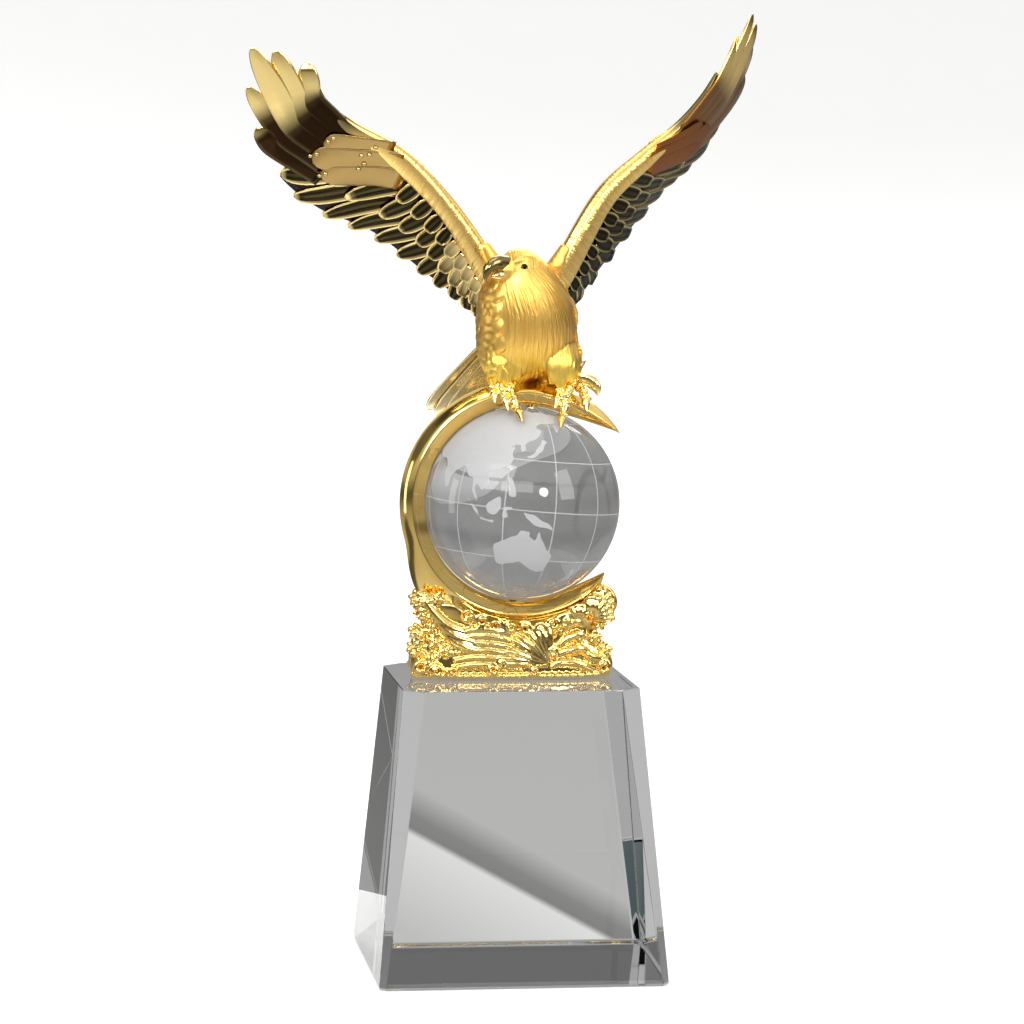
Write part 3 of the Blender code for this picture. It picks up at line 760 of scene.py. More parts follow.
class TROPHY_OT_pins(bpy.types.Operator):
    """Model the two pins that the globe turns on"""

    bl_idname = "trophy.pins"
    bl_label = "Globe pins"

    def execute(self, context):
        finish = Finish("pin_metal_looks", Metallic=1.0)
        turned = finish.noise(900.0, 3.0, finish.place((1, 1, 6)))
        finish.set(Base_Color=finish.blend(turned, (0.42, 0.24, 0.08, 1), (0.62, 0.38, 0.13, 1)),
                   Roughness=turned * 0.15 + 0.18, Normal=finish.bump(turned, 0.03 * MM, 0.5))
        for name, way in (("upper_pin", 1), ("lower_pin", -1)):
            deselect()
            low, high = (GLOBE_CENTRE + AXIS * way * reach * MM for reach in PIN_REACH)
            bpy.ops.mesh.primitive_cylinder_add(vertices=32, radius=PIN_RADIUS, depth=(high - low).length)
            pin = context.object
            pin.name = pin.data.name = f"turned_{name}"
            open_mesh(pin)
            bpy.ops.mesh.bevel(offset=0.15 * MM, segments=2)
            bpy.ops.object.mode_set(mode="OBJECT")
            pin.matrix_world = Matrix.Translation((low + high) / 2) @ Matrix.Rotation(AXIS_LEAN, 4, "Y")
            settle(pin)
            bpy.ops.object.shade_smooth_by_angle(angle=math.radians(30))
            wear(pin, finish.material, "stand", "pin_metal", name)
        return {"FINISHED"}


# Wave base and crescent arm

RING_CENTRE = np.array(GLOBE_CENTRE)
RING_INNER, RING_RIDGE, RING_OUTER = 30.15 * MM, 34.4 * MM, 37.9 * MM
ARM_START, ARM_END, ARM_DEPTH = math.radians(-40.0), math.radians(-324.0), 9.0 * MM


# Shares of the arm over which its lower and its upper point taper
ARM_TAPERS = (0.09, 0.12)


def bend(start, middle, end, shares):
    """Points on a curve from start to end that is drawn towards middle."""
    return [(1 - t) ** 2 * start + 2 * t * (1 - t) * middle + t * t * end for t in shares]


def arm_section(angle):
    """Kite section of the crescent: bulging flanks outside, hollow coves towards the globe."""
    done = (angle - ARM_START) / (ARM_END - ARM_START)
    low, high = min(done / ARM_TAPERS[0], 1.0), min((1.0 - done) / ARM_TAPERS[1], 1.0)
    full = max(math.sin(math.pi / 2 * min(low, high)) ** 0.8, 0.05)
    cove, flank = RING_RIDGE - RING_INNER, RING_OUTER - RING_RIDGE
    # The flank runs out into the base at its left foot
    around = math.degrees(angle) % 360
    flank += 4.6 * MM * float(ease(around, 196, 224) * (1 - ease(around, 226, 246)))
    middle = RING_RIDGE + (1.0 - full) * (0.8 * flank if high < low else -0.2 * cove)
    inner, outer = middle - cove * full, middle + flank * full
    depth = ARM_DEPTH / 2 * (0.2 + 0.8 * full)
    rows = []
    for way in (-1, 1):
        ridge = np.array((middle, way * depth))
        hollow = np.array((middle - 1.1 * cove * full, way * 0.54 * depth))
        bulge = np.array((outer - 0.30 * flank * full, way * 0.62 * depth))
        flank_side = bend(ridge, bulge, np.array((outer, 0.0)), np.linspace(0.035, 1, 7))
        cove_side = bend(ridge, hollow, np.array((inner, 0.0)), np.linspace(0.035, 1, 9))
        if way < 0:
            rows += cove_side[::-1] + [ridge * (1, 0.985)] + flank_side
        else:
            rows += flank_side[:-1][::-1] + [ridge * (1, 0.985)] + cove_side[:-1]
    out = np.array((math.cos(angle), 0.0, math.sin(angle)))
    return [RING_CENTRE + out * r + np.array((0.0, y, 0.0)) for r, y in rows]


def base_top(x):
    """Height of the wave base's top under the globe, as the bowl round the ring leaves it."""
    reach = RING_RIDGE + 0.4 * MM
    off = np.clip(np.abs(x - RING_CENTRE[0]), 0, reach * 0.96)
    return RING_CENTRE[2] - np.sqrt(reach**2 - off**2)


# Ends of the base, left and right: half its width by height above the block, in millimetres
LEFT_END = ((0, 30.0), (3, 31.0), (6, 31.0), (9.5, 30.4), (13, 29.4), (15.5, 27.2), (17.2, 24.6),
            (19, 26.8), (21.5, 29.0), (24, 29.2), (28.5, 25.6))
RIGHT_END = ((0, 30.6), (3, 31.9), (5.5, 31.7), (9, 29.4), (12, 26.8), (15.5, 26.6), (17.2, 27.6),
             (20, 31.2), (23, 32.2), (28.5, 29.4))
# Width that the two ends were drawn at, half the core's length, and the heights of its horns
ENDS_WIDTH, CORE_HALF, CORE_HEIGHT = 63.5, 31 * MM, 28 * MM
LEFT_HORN, RIGHT_HORN = 27.0, 28.4


def face_depth(x, z, settings):
    """How far the front of the base's core stands out at a place."""
    share = (z - BASE_BOTTOM) / CORE_HEIGHT
    ends = 1 - np.clip(np.abs(x) / CORE_HALF, 0, 1) ** 4 * 0.62
    return settings.depth / 2 * (0.94 - 0.22 * share) * ends


def base_core(cast, settings):
    """Body of the base under its waves, narrow at its waist."""
    rings = []
    for s in np.linspace(-1, 1, 72):
        x = s * 31 * MM
        horn = BASE_BOTTOM + (RIGHT_HORN if s > 0 else LEFT_HORN) * MM
        top = min(float(base_top(x)), horn) - 0.3 * MM
        ring = []
        for t in np.linspace(0, 1, 20):
            z = BASE_BOTTOM + (top - BASE_BOTTOM) * t
            high = (z - BASE_BOTTOM) / MM
            end = np.interp(high, *zip(*(RIGHT_END if s > 0 else LEFT_END))) * settings.width / ENDS_WIDTH
            # The top edge is rounded off
            y = float(face_depth(x, z, settings)) * (1.0 if t < 0.85 else 1.0 - 0.5 * (t - 0.85) / 0.15)
            ring.append((s * end, -y, z))
        rings.append(ring + [(p[0], -p[1], p[2]) for p in ring[::-1]])
    cast.loft(rings)


def on_face(x, z, settings, out=0.0, back=1):
    """Point on the front of the core, or on its back where back is -1."""
    x, z = x * MM, BASE_BOTTOM + z * MM
    return np.array((x, -back * (float(face_depth(x, z, settings)) + out * MM), z))


def streak(cast, settings, points, girth, out=0.0, back=1):
    """Rib of water along the face, through points given across and up in millimetres."""
    path = [on_face(x, z, settings, out, back) for x, z in points]
    radii = [g * MM for g in girth]
    cast.tube(path, radii, sides=8, stations=14, flat=0.75, normal=(0, 1, 0))


CURL_ROUNDS = 1.35


def curl(cast, centre, size, turn, way, girth):
    """Breaking crest: a tapering tube wound into a spiral."""
    path, radii = [], []
    for t in np.linspace(0, 1, 12):
        angle = turn + way * t * CURL_ROUNDS * 2 * math.pi
        reach = size * (1.0 - 0.72 * t)
        out = np.array((math.cos(angle) * reach, -size * (0.15 + 0.55 * t), math.sin(angle) * reach))
        path.append(centre + out)
        radii.append(size * girth * (1.0 - 0.45 * t))
    cast.tube(path, radii, sides=8, stations=26)


def foam(cast, centre, size, count, seed, back=1):
    """Cluster of foam beads."""
    chance = random.Random(seed)
    for _ in range(count):
        angle, reach = chance.uniform(0, 2 * math.pi), size * math.sqrt(chance.random())
        out = -back * chance.uniform(0.0, 0.5) * size
        spot = centre + np.array((math.cos(angle) * reach, out, math.sin(angle) * reach))
        cast.ball(spot, [size * chance.uniform(0.30, 0.46)] * 3, 10, 7)


def blossom(cast, centre, size, petals, turn=0.0, back=1):
    """Rosette of plump foam round a bead."""
    for k in range(petals):
        angle = turn + 2 * math.pi * k / petals
        out = np.array((math.cos(angle), 0.0, math.sin(angle)))
        spot = centre + out * size * 0.66 + np.array((0.0, -back * size * (0.22 + 0.12 * (k % 2)), 0.0))
        plump = 1.0 + 0.14 * math.sin(3.1 * k + turn)
        cast.ball(spot, np.array((0.40, 0.34, 0.40)) * size * plump, 12, 8)
        bead = spot + out * size * 0.26 + np.array((0.0, -back * size * 0.16, 0.0))
        cast.ball(bead, [size * 0.2] * 3, 8, 6)
    cast.ball(centre + np.array((0, -back * size * 0.5, 0)), [size * 0.36] * 3, 12, 8)


def scallop(cast, centre, size, start, end, ribs, back=1):
    """Shell-like crest: ribs fanned about a root."""
    for k in range(ribs):
        angle = start + (end - start) * k / (ribs - 1)
        out = np.array((math.cos(angle), 0.0, math.sin(angle)))
        near = np.array((0.0, -back * size, 0.0))
        path = [centre, centre + out * size * 0.5 + near * 0.35, centre + out * size + near * 0.25]
        width = abs(end - start) / (ribs - 1) * size
        cast.tube(path, [width * 0.25, width * 0.5, width * 0.62], sides=8, stations=8)
        cast.ball(centre + out * size * 1.04 + near * 0.28, [width * 0.62] * 3, 8, 5)


# The waves by place across and height above the block, in millimetres.
# Rolls at the right: place, length, rise and girth
ROLLS = ((13.0, 6.4, 11.0, 2.6, 1.6), (14.6, 10.0, 9.0, 3.4, 1.5), (15.0, 13.8, 7.0, 3.6, 1.4),
         (22.0, 8.2, 7.0, -2.6, 1.5), (13.2, 17.6, 6.0, 2.2, 1.2))
# Foam down the left edge and up the right one: place, size and petals
BLOSSOMS = ((-28.0, 23.6, 2.9, 6), (-23.4, 24.4, 2.4, 5), (-27.2, 19.2, 2.2, 5), (-28.2, 13.2, 2.8, 6),
            (-23.6, 11.2, 2.6, 5), (-28.8, 8.4, 2.7, 6), (-24.6, 6.2, 2.4, 5), (-20.4, 8.6, 2.1, 5),
            (-24.4, 15.8, 2.1, 5), (29.0, 8.0, 2.5, 6), (25.8, 12.2, 2.3, 5), (27.8, 16.2, 1.9, 5),
            (21.0, 12.6, 2.2, 6), (17.2, 9.0, 1.7, 5), (23.6, 5.4, 1.9, 5))
# A box-like curl at the lower left and smaller ones: place, size and way of winding
CURLS = ((-28.4, 3.2, 2.7, 1), (-23.4, 2.4, 2.0, -1), (-18.6, 2.3, 1.8, 1), (-6.0, 2.6, 1.9, -1),
         (-3.4, 4.8, 1.6, 1), (6.6, 2.4, 1.6, 1), (28.4, 3.2, 2.4, -1), (12.2, 8.4, 1.7, -1),
         (16.4, 17.2, 1.8, 1))
# Crests on the right horn: place, size, first and last rib in degrees, and ribs
SCALLOPS = ((24.0, 18.0, 6.6, 2, 98, 7), (20.4, 17.6, 4.6, 40, 120, 5), (26.2, 22.0, 4.8, -8, 108, 6))


def wave_details(cast, settings, back):
    """Everything that stands on one face of the base: the front, or the back where back is -1."""
    def rib(points, girth, out):
        streak(cast, settings, points, girth, out, back)

    def crest(centre, size, turn, way, girth):
        """A curl in front, and a plainer rosette behind."""
        if back > 0:
            curl(cast, centre, size[0] * MM, turn[0], way, girth)
        else:
            blossom(cast, centre, size[1] * MM, 5, turn[1], back)

    # Horizontal ripples left of the middle
    for row, z in enumerate((3.4, 5.6, 7.8, 10.0, 12.2, 14.2)):
        rib(((-18.5 + row * 0.5, z), (-11, z + 0.9), (-4, z + 0.3), (3.0 - row * 0.9, z - 0.7)),
            (0.6, 1.12, 1.08, 0.45), 0.3)
    # Fan of spray from the lower right
    for k, angle in enumerate(np.linspace(math.radians(172), math.radians(86), 10)):
        reach = 15.0 + 1.5 * math.sin(k * 1.7)
        ends = [(11.5 + math.cos(angle + 0.10 * t) * reach * t,
                 4.0 + math.sin(angle + 0.10 * t) * min(reach, 12.5) * t) for t in (0.05, 0.4, 0.75, 1.0)]
        rib(ends, (0.3, 0.85, 1.12, 0.6), 0.7)
    # Water falling from the left shoulder along the arm
    for k in range(6):
        x, drop = -28.4 + k * 1.3, k * 2.3
        rib(((x, 27.0 - drop), (x + 3.2, 21.8 - drop * 0.85), (x + 7.6, 17.6 - drop * 0.7),
             (x + 13.0, 15.6 - drop * 0.62)), (0.9, 1.45, 1.4, 0.6), 0.4 + 0.1 * (k % 2))
    for x, z, long, rise, girth in ROLLS:
        rib(((x, z), (x + long * 0.33, z + rise * 0.7), (x + long * 0.7, z + rise),
             (x + long, z + rise * 0.6)), (0.7, girth, girth * 0.95, 0.7), 0.4)
    # Long bright roll near the foot
    rib(((11.5, 3.4), (15.0, 5.0), (21.0, 4.2), (25.5, 2.2)), (0.7, 1.4, 1.4, 0.8), 1.2)
    # Foam curls under the arm's ridge
    for k in range(9):
        angle = math.radians(243 + k * 6.8)
        reach = RING_RIDGE + 3.3 * MM
        centre = RING_CENTRE + np.array((math.cos(angle) * reach, 0, math.sin(angle) * reach))
        centre[1] = -back * (float(face_depth(centre[0], centre[2], settings)) - 0.3 * MM)
        crest(centre, (2.1, 1.9), (0.6 * k, k), 1 if k % 2 else -1, 0.40)
        foam(cast, centre + np.array((0.0, -back * 0.4 * MM, -2.0 * MM)), 1.6 * MM, 4, k, back)
    for x, z, size, petals in BLOSSOMS:
        blossom(cast, on_face(x, z, settings, -0.4, back), size * MM, petals, x + z, back)
    for x, z, size, way in CURLS:
        crest(on_face(x, z, settings, 0.2, back), (size, size), (1.2 * x, x), way, 0.42)
    for x, z, size, start, end, ribs in SCALLOPS:
        scallop(cast, on_face(x, z, settings, -0.6, back), size * MM, math.radians(start),
                math.radians(end), ribs, back)
    # Bright edge of the right horn
    rib(((31.4, 19.6), (32.0, 22.6), (30.6, 26.0), (28.4, 27.6)), (0.7, 1.3, 1.3, 0.8), 0.1)
    # Water lip along the foot
    for x in np.arange(-28.8, 28.9, 2.4):
        cast.ball(on_face(x, 0.9, settings, 0.1, back), [1.3 * MM, 0.9 * MM, 0.9 * MM], 8, 5)


# Share of the melted base's triangles that is kept, to stay under the limit for one piece
BASE_KEPT = 0.64
BOWL = RING_RIDGE + 0.1 * MM
BOSS_RADIUS, SEAT_RADIUS = 2.0 * MM, 1.1 * MM


class TROPHY_OT_base(bpy.types.Operator):
    """Model the cast wave base and the crescent arm that holds the globe"""

    bl_idname = "trophy.base"
    bl_label = "Wave base and crescent arm"

    def execute(self, context):
        settings = context.scene.trophy_base
        polished = mix_polished("polished_gilt_looks", context.scene.trophy_gilt)
        waves = Casting()
        base_core(waves, settings)
        for back in (1, -1):
            wave_details(waves, settings, back)
        base = waves.piece("wave_base_cast")
        fuse(base, settings.cast, 3, 0.45)
        apply_modifier(base, "DECIMATE", ratio=BASE_KEPT)
        points, normals = points_of(base), points_of(base, "normal")
        # Keeps the waves clear of the globe and flat on the block
        off = points - RING_CENTRE
        reach = np.hypot(off[:, 0], off[:, 2])
        inside = reach < BOWL
        for axis in (0, 2):
            points[inside, axis] = RING_CENTRE[axis] + off[inside, axis] / reach[inside] * BOWL
        points[:, 2] = np.maximum(points[:, 2], BASE_BOTTOM)
        move_points(base, points)
        # Hollows are where a smoothed copy stands outside the base; they get painted shade
        smooth = base.copy()
        smooth.data = base.data.copy()
        context.collection.objects.link(smooth)
        apply_modifier(smooth, "SMOOTH", factor=0.5, iterations=14)
        dent = np.einsum("ij,ij->i", points_of(smooth) - points, normals)
        bpy.data.objects.remove(smooth)
        mark_points(base, hollow=ease(dent, 0.06 * MM, 0.6 * MM))
        wear(base, polished, "stand", "polished_gilt", "wave_base_and_arm")

        arm = Casting()
        arm.loft([arm_section(ARM_START + t * (ARM_END - ARM_START)) for t in np.linspace(0, 1, 150)])
        crescent = arm.piece("crescent_arm", 32)
        # A boss for the upper pin, and the seat of each pin
        bosses = Casting()
        top = np.array(AXIS)
        bosses.tube([RING_CENTRE + top * (RING_INNER - 0.2 * MM), RING_CENTRE + top * (RING_RIDGE + 1.4 * MM)],
                    [BOSS_RADIUS] * 2, sides=32, stations=4)
        boss = bosses.piece("pin_boss", 40)
        cutters = Casting()
        for way in (1, -1):
            ends = [RING_CENTRE + top * way * (RING_INNER + reach * MM) for reach in (-2, 2.8)]
            cutters.tube(ends, [SEAT_RADIUS] * 2, sides=24, stations=3)
        seats = cutters.piece("pin_seats")
        apply_modifier(crescent, "BOOLEAN", operation="UNION", solver="EXACT", object=boss)
        apply_modifier(crescent, "BOOLEAN", operation="DIFFERENCE", solver="EXACT", object=seats)
        bpy.data.objects.remove(boss)
        bpy.data.objects.remove(seats)
        close_up(crescent, 32)
        wear(crescent, polished, "stand", "polished_gilt", "wave_base_and_arm")
        return {"FINISHED"}


# Eagle


def pose(points):
    """Points given in hundredths of the eagle's height above its perch."""
    return np.array(PERCH) + np.asarray(points, float) * EAGLE_UNIT


# A wing's edges run from its root to its tip, and its keys say:
# way, the side it is on, 1 for the left of the photograph
# wrist, how much painted shade darkens the plates of its wrist, and rim, the same for its coverts' rims
# root, how much painted shade darkens its outer flight feathers' roots
# plump, the share of its length along which the coverts are plump and bright, with little painted shade
# dull, how much of satin its plates and roots have, which also turns their painted shade dark red
RIGHT_WING = dict(
    way=1, wrist=0.66, rim=0.0, root=1.0, plump=0.28, dull=0.35,
    leading=((-3.0, 3.0, 23.0), (-8.4, 1.0, 32.6), (-20.1, -1.7, 48.7), (-32.9, -5.2, 61.3),
             (-47.0, -10.0, 68.8), (-54.1, -12.2, 74.1), (-58.0, -14.0, 81.0)),
    trailing=((-6.0, 8.5, 13.0), (-13.4, 12.2, 19.8), (-26.0, 11.3, 28.8), (-40.0, 9.6, 39.4),
              (-54.8, 6.1, 45.6), (-65.4, 1.7, 53.8), (-70.4, -4.0, 63.0)),
    tips=((-59.8, -14.8, 84.2), (-68.6, -17.4, 87.2), (-74.9, -19.1, 87.9), (-75.4, -12.2, 77.6),
          (-72.6, -7.0, 66.8)),
)
LEFT_WING = dict(
    way=-1, wrist=0.90, rim=0.6, root=0.86, plump=0.0, dull=1.0,
    leading=((2.0, 3.0, 21.0), (7.9, 1.4, 31.0), (19.9, 5.2, 50.5), (32.0, 8.7, 61.0),
             (42.0, 11.4, 68.8), (49.0, 13.4, 76.4), (54.5, 15.7, 84.7)),
    trailing=((7.6, 11.0, 12.6), (15.7, 17.4, 21.1), (30.5, 24.3, 38.7), (41.8, 28.7, 52.1),
              (50.2, 30.4, 59.4), (57.4, 31.6, 69.6), (60.6, 31.0, 76.5)),
    tips=((59.8, 18.4, 93.5), (64.2, 20.4, 99.8), (65.7, 23.4, 97.2), (65.6, 26.6, 91.5),
          (64.0, 29.6, 83.5)),
)
# The thick leading edge by shares along the wing: width as a share across, height in millimetres
BAND_WIDTH = (0.50, 0.44, 0.28, 0.25, 0.17, 0.11, 0.06)
BAND_HEIGHT = (2.6, 2.7, 2.5, 2.2, 1.5, 0.9, 0.4)

# Feathers of a wing's face: root and tip as shares along and across it, and width in millimetres
SECONDARIES = (
    (0.545, 0.22, 0.845, 0.96, 8.2), (0.505, 0.39, 0.760, 1.04, 7.2), (0.470, 0.50, 0.650, 1.04, 6.4),
    (0.415, 0.50, 0.570, 1.06, 6.1), (0.365, 0.48, 0.490, 1.06, 6.1), (0.320, 0.51, 0.420, 1.05, 6.1),
    (0.290, 0.55, 0.350, 1.05, 6.1), (0.255, 0.58, 0.290, 1.06, 6.1), (0.225, 0.64, 0.230, 1.08, 5.8),
    (0.195, 0.70, 0.170, 1.09, 5.6), (0.150, 0.66, 0.115, 1.08, 5.6), (0.100, 0.60, 0.060, 1.05, 5.6),
)
COVERTS = (
    (0.495, 0.17, 0.680, 0.66, 6.4), (0.455, 0.25, 0.615, 0.73, 6.4), (0.420, 0.31, 0.505, 0.76, 6.1),
    (0.375, 0.34, 0.440, 0.75, 6.1), (0.335, 0.37, 0.380, 0.73, 5.8), (0.300, 0.42, 0.335, 0.76, 5.8),
    (0.270, 0.46, 0.290, 0.80, 5.4), (0.240, 0.51, 0.245, 0.86, 5.4), (0.210, 0.57, 0.205, 0.90, 5.1),
    (0.165, 0.55, 0.155, 0.88, 5.1), (0.115, 0.50, 0.100, 0.84, 5.1),
)
SMALL_COVERTS = (
    (0.430, 0.16, 0.475, 0.48, 5.4), (0.385, 0.21, 0.420, 0.50, 5.3), (0.345, 0.25, 0.370, 0.51, 5.0),
    (0.310, 0.28, 0.325, 0.51, 4.7), (0.275, 0.30, 0.290, 0.55, 4.7), (0.245, 0.33, 0.250, 0.58, 4.5),
    (0.215, 0.38, 0.218, 0.63, 4.5), (0.180, 0.40, 0.180, 0.66, 4.5), (0.130, 0.40, 0.125, 0.66, 4.5),
)
WRIST_PLATES = (
    (0.480, 0.25, 0.715, 0.62, 7.4), (0.500, 0.15, 0.775, 0.52, 9.0), (0.535, 0.08, 0.755, 0.33, 8.6),
)
# Knobs on the wrist, as shares along and across the wing
WRIST_KNOBS = (
    (0.74, 0.28), (0.725, 0.22), (0.78, 0.52), (0.76, 0.46), (0.715, 0.63), (0.70, 0.58), (0.585, 0.10),
    (0.595, 0.19), (0.615, 0.23), (0.61, 0.37), (0.60, 0.30),
)


def wing_place(shape, t, u, lift=0.0):
    """Points of a wing's middle surface, raised by lift in millimetres, and the way its face looks."""
    t, u = np.broadcast_arrays(np.atleast_1d(np.asarray(t, float)), np.asarray(u, float))
    lead, trail = spline(pose(shape["leading"]), t), spline(pose(shape["trailing"]), t)
    ahead, behind = (spline(pose(shape["leading"]), np.clip(t + d, 0, 1)) for d in (0.02, -0.02))
    chord = trail - lead
    look = unit(np.cross(chord, ahead - behind)) * -shape["way"]
    bulge = 1.1 * EAGLE_UNIT * 4 * u * (1 - u)
    return lead + chord * u[:, None] + look * (bulge + np.asarray(lift) * MM)[:, None], look


# Points across a feather, from edge to edge
FEATHER_ACROSS = np.array((-1, -0.93, -0.80, -0.60, -0.30, 0, 0.30, 0.60, 0.80, 0.93, 1))


def feather(cast, path, look, width, thick, cup=1.0, point=2.4, root=0.6, sections=12,
            hollow=(1.0, 1.0), satin=(0.0, 0.0), edge=0.0, fade=(0.80, 0.92)):
    """One feather: a vane with a rounded end, a raised rim and shaft, and a hollow on either side.

    It is dished where cup is 1 and domed where cup is 0. hollow gives the painted shade at root and
    tip, satin the finish there, edge the painted shade of the rim, and fade the shares between which the painted
    shade clears at the tip.
    """
    t = 1 - (1 - np.linspace(0, 1, sections)) ** 1.35
    centre = spline(path, t)
    along = unit(np.gradient(centre, axis=0))
    look = unit(look if np.ndim(look) == 1 else spline(look, t))
    side = unit(np.cross(np.broadcast_to(look, along.shape), along))
    face = np.cross(along, side)
    swell = root + (1 - root) * np.sin(np.pi / 2 * np.clip(t / 0.4, 0, 1))
    taper = np.sqrt(np.clip(1 - np.clip((t - 0.45) / 0.55, 0, 1) ** point, 0.0004, 1))
    half = width / 2 * swell * taper
    s = FEATHER_ACROSS
    rim = np.exp(-((np.abs(s) - 0.90) / 0.10) ** 2)
    shaft = np.exp(-(s / 0.13) ** 2)
    dished = 0.30 + 0.70 * rim + 0.28 * shaft
    domed = 0.45 + 0.55 * (1 - s * s)
    profile = (dished * cup + domed * (1 - cup)) * np.where(np.abs(s) > 0.99, 0.15, 1.0)
    lip = np.exp(-((t - 0.90) / 0.055) ** 2) * cup
    end = np.clip(1 - t**14, 0.1, 1)
    front = (profile[None, :] * (1 - lip[:, None]) + lip[:, None]) * end[:, None] * thick
    back = -0.35 * thick * (1 - s * s)[None, :] * end[:, None]
    points = centre[:, None] + side[:, None] * (s[None, :, None] * half[:, None, None])
    upper, lower = points + face[:, None] * front[..., None], points + face[:, None] * back[..., None]
    rings = np.concatenate([upper, lower[:, 1:-1][:, ::-1]], 1)
    # Painted shade fills the feather's hollow between rim and shaft, and the rim too as far as edge asks
    depth = (1 - ease(np.abs(s), 0.58, 0.82)) * (1 - 0.06 * shaft)
    depth = edge + (1 - edge) * depth
    shade = (1 - ease(t, *fade)) * (hollow[0] + (hollow[1] - hollow[0]) * t)
    dark = depth[None, :] * shade[:, None]
    dull = np.broadcast_to((satin[0] + (satin[1] - satin[0]) * t)[:, None], upper.shape[:2])
    back_dark = np.zeros((len(t), len(s) - 2))
    cast.loft(rings, hollow=np.concatenate([dark, back_dark], 1),
              satin=np.concatenate([dull, dull[:, 1:-1]], 1))


def wing_feather(cast, shape, row, lift, thick, back=False, **finish):
    """A feather laid on a wing's face, or on its back."""
    t0, u0, t1, u1, width = row
    v = np.linspace(0, 1, 5)
    raise_by = lift[0] + (lift[1] - lift[0]) * v
    t, u = t0 + (t1 - t0) * v, u0 + (u1 - u0) * v
    path, look = wing_place(shape, t, u, -raise_by if back else raise_by)
    feather(cast, path, -look if back else look, width * MM, thick, **finish)


def wing_band(cast, shape):
    """Thick leading edge of the wing."""
    rings, dark, dull = [], [], []
    stations = np.linspace(0, 0.97, 90)
    widths, heights = spline(BAND_WIDTH, stations), spline(BAND_HEIGHT, stations)
    angle = np.linspace(0, 2 * math.pi, 33)[:-1]
    for t, width, height in zip(stations, widths, heights):
        u = width * 0.5 * (1 - np.cos(angle))
        rise = np.sign(np.sin(angle)) * np.abs(np.sin(angle)) ** 0.9 * height * 1.15
        points, _ = wing_place(shape, np.full(len(u), t), u, rise)
        rings.append(points)
        # Towards its tip the band is painted dark with painted shade, and loses its satin
        bright = ease(t, 0.60, 0.70)
        dull.append(np.full(len(u), 0.6 * (1 - bright)))
        dark.append(np.full(len(u), 0.75 * bright))
    cast.loft(rings, satin=np.array(dull), hollow=np.array(dark),
              flow=np.repeat(stations[:, None] * 4.0, len(angle), 1),
              strand=np.repeat((1 - ease(stations, 0.55, 0.66))[:, None] * 0.45, len(angle), 1))


def wing_plate(cast, shape):
    """Thin web that the feathers lie on, its face painted dark with painted shade."""
    rings = []
    across = np.linspace(0.04, 0.985, 9)
    for t in np.linspace(0.0, 0.84, 50):
        front, rear = (wing_place(shape, np.full(9, t), across, lift)[0] for lift in (0.15, -0.75))
        rings.append(np.concatenate([front, rear[::-1]]))
    # Painted shade on the web's face, which shows in the gaps between the feathers
    dark = np.concatenate([np.full((50, 9), 1.0), np.zeros((50, 9))], 1)
    cast.loft(rings, hollow=dark, satin=np.zeros((50, 18)))


# Outer flight feathers: number of the tip, and the shares along it between which the painted shade on its root
# clears
FINGERS = ((4, 0.80, 1.0), (3, 0.66, 0.84), (0, 0.44, 0.68), (1, 0.44, 0.66), (2, 0.44, 0.66))


def wing_fingers(cast, shape, thick):
    """Outer flight feathers, spread past the end of the wing."""
    lead, trail = pose(shape["leading"]), pose(shape["trailing"])
    count = len(shape["tips"])
    for order, (number, dark_end, bright) in enumerate(FINGERS):
        tip = pose(shape["tips"][number]) * 0.985 + pose(shape["leading"][-1]) * 0.015
        spread = (number + 0.5) / count
        share = 0.10 + 0.62 * spread
        root = spline(lead, 0.66)[0] * (1 - share) + spline(trail, 0.72)[0] * share
        mix = 0.08 + 0.86 * spread
        elbow = spline(lead, 0.94)[0] * (1 - mix) + spline(trail, 0.94)[0] * mix
        along = unit(tip - root)
        look = unit(np.cross(unit(trail[-1] - lead[-1]), along))
        if look @ wing_place(shape, 0.95, 0.5)[1][0] < 0:
            look = -look
        step = look * (0.9 + 0.16 * order) * MM
        path = np.array([root, (root + elbow) / 2 + look * 0.2 * MM, elbow, elbow * 0.45 + tip * 0.55,
                         tip + look * -0.8 * MM]) + step
        width = (8.6 if number in (1, 2) else 7.8) * MM
        feather(cast, path, look, width, thick * 1.7, cup=0.12, point=2.3, root=1.0, sections=20,
                satin=(shape["dull"] ** 3, 0.12), hollow=(shape["root"],) * 2, edge=0.95,
                fade=(dark_end, bright))


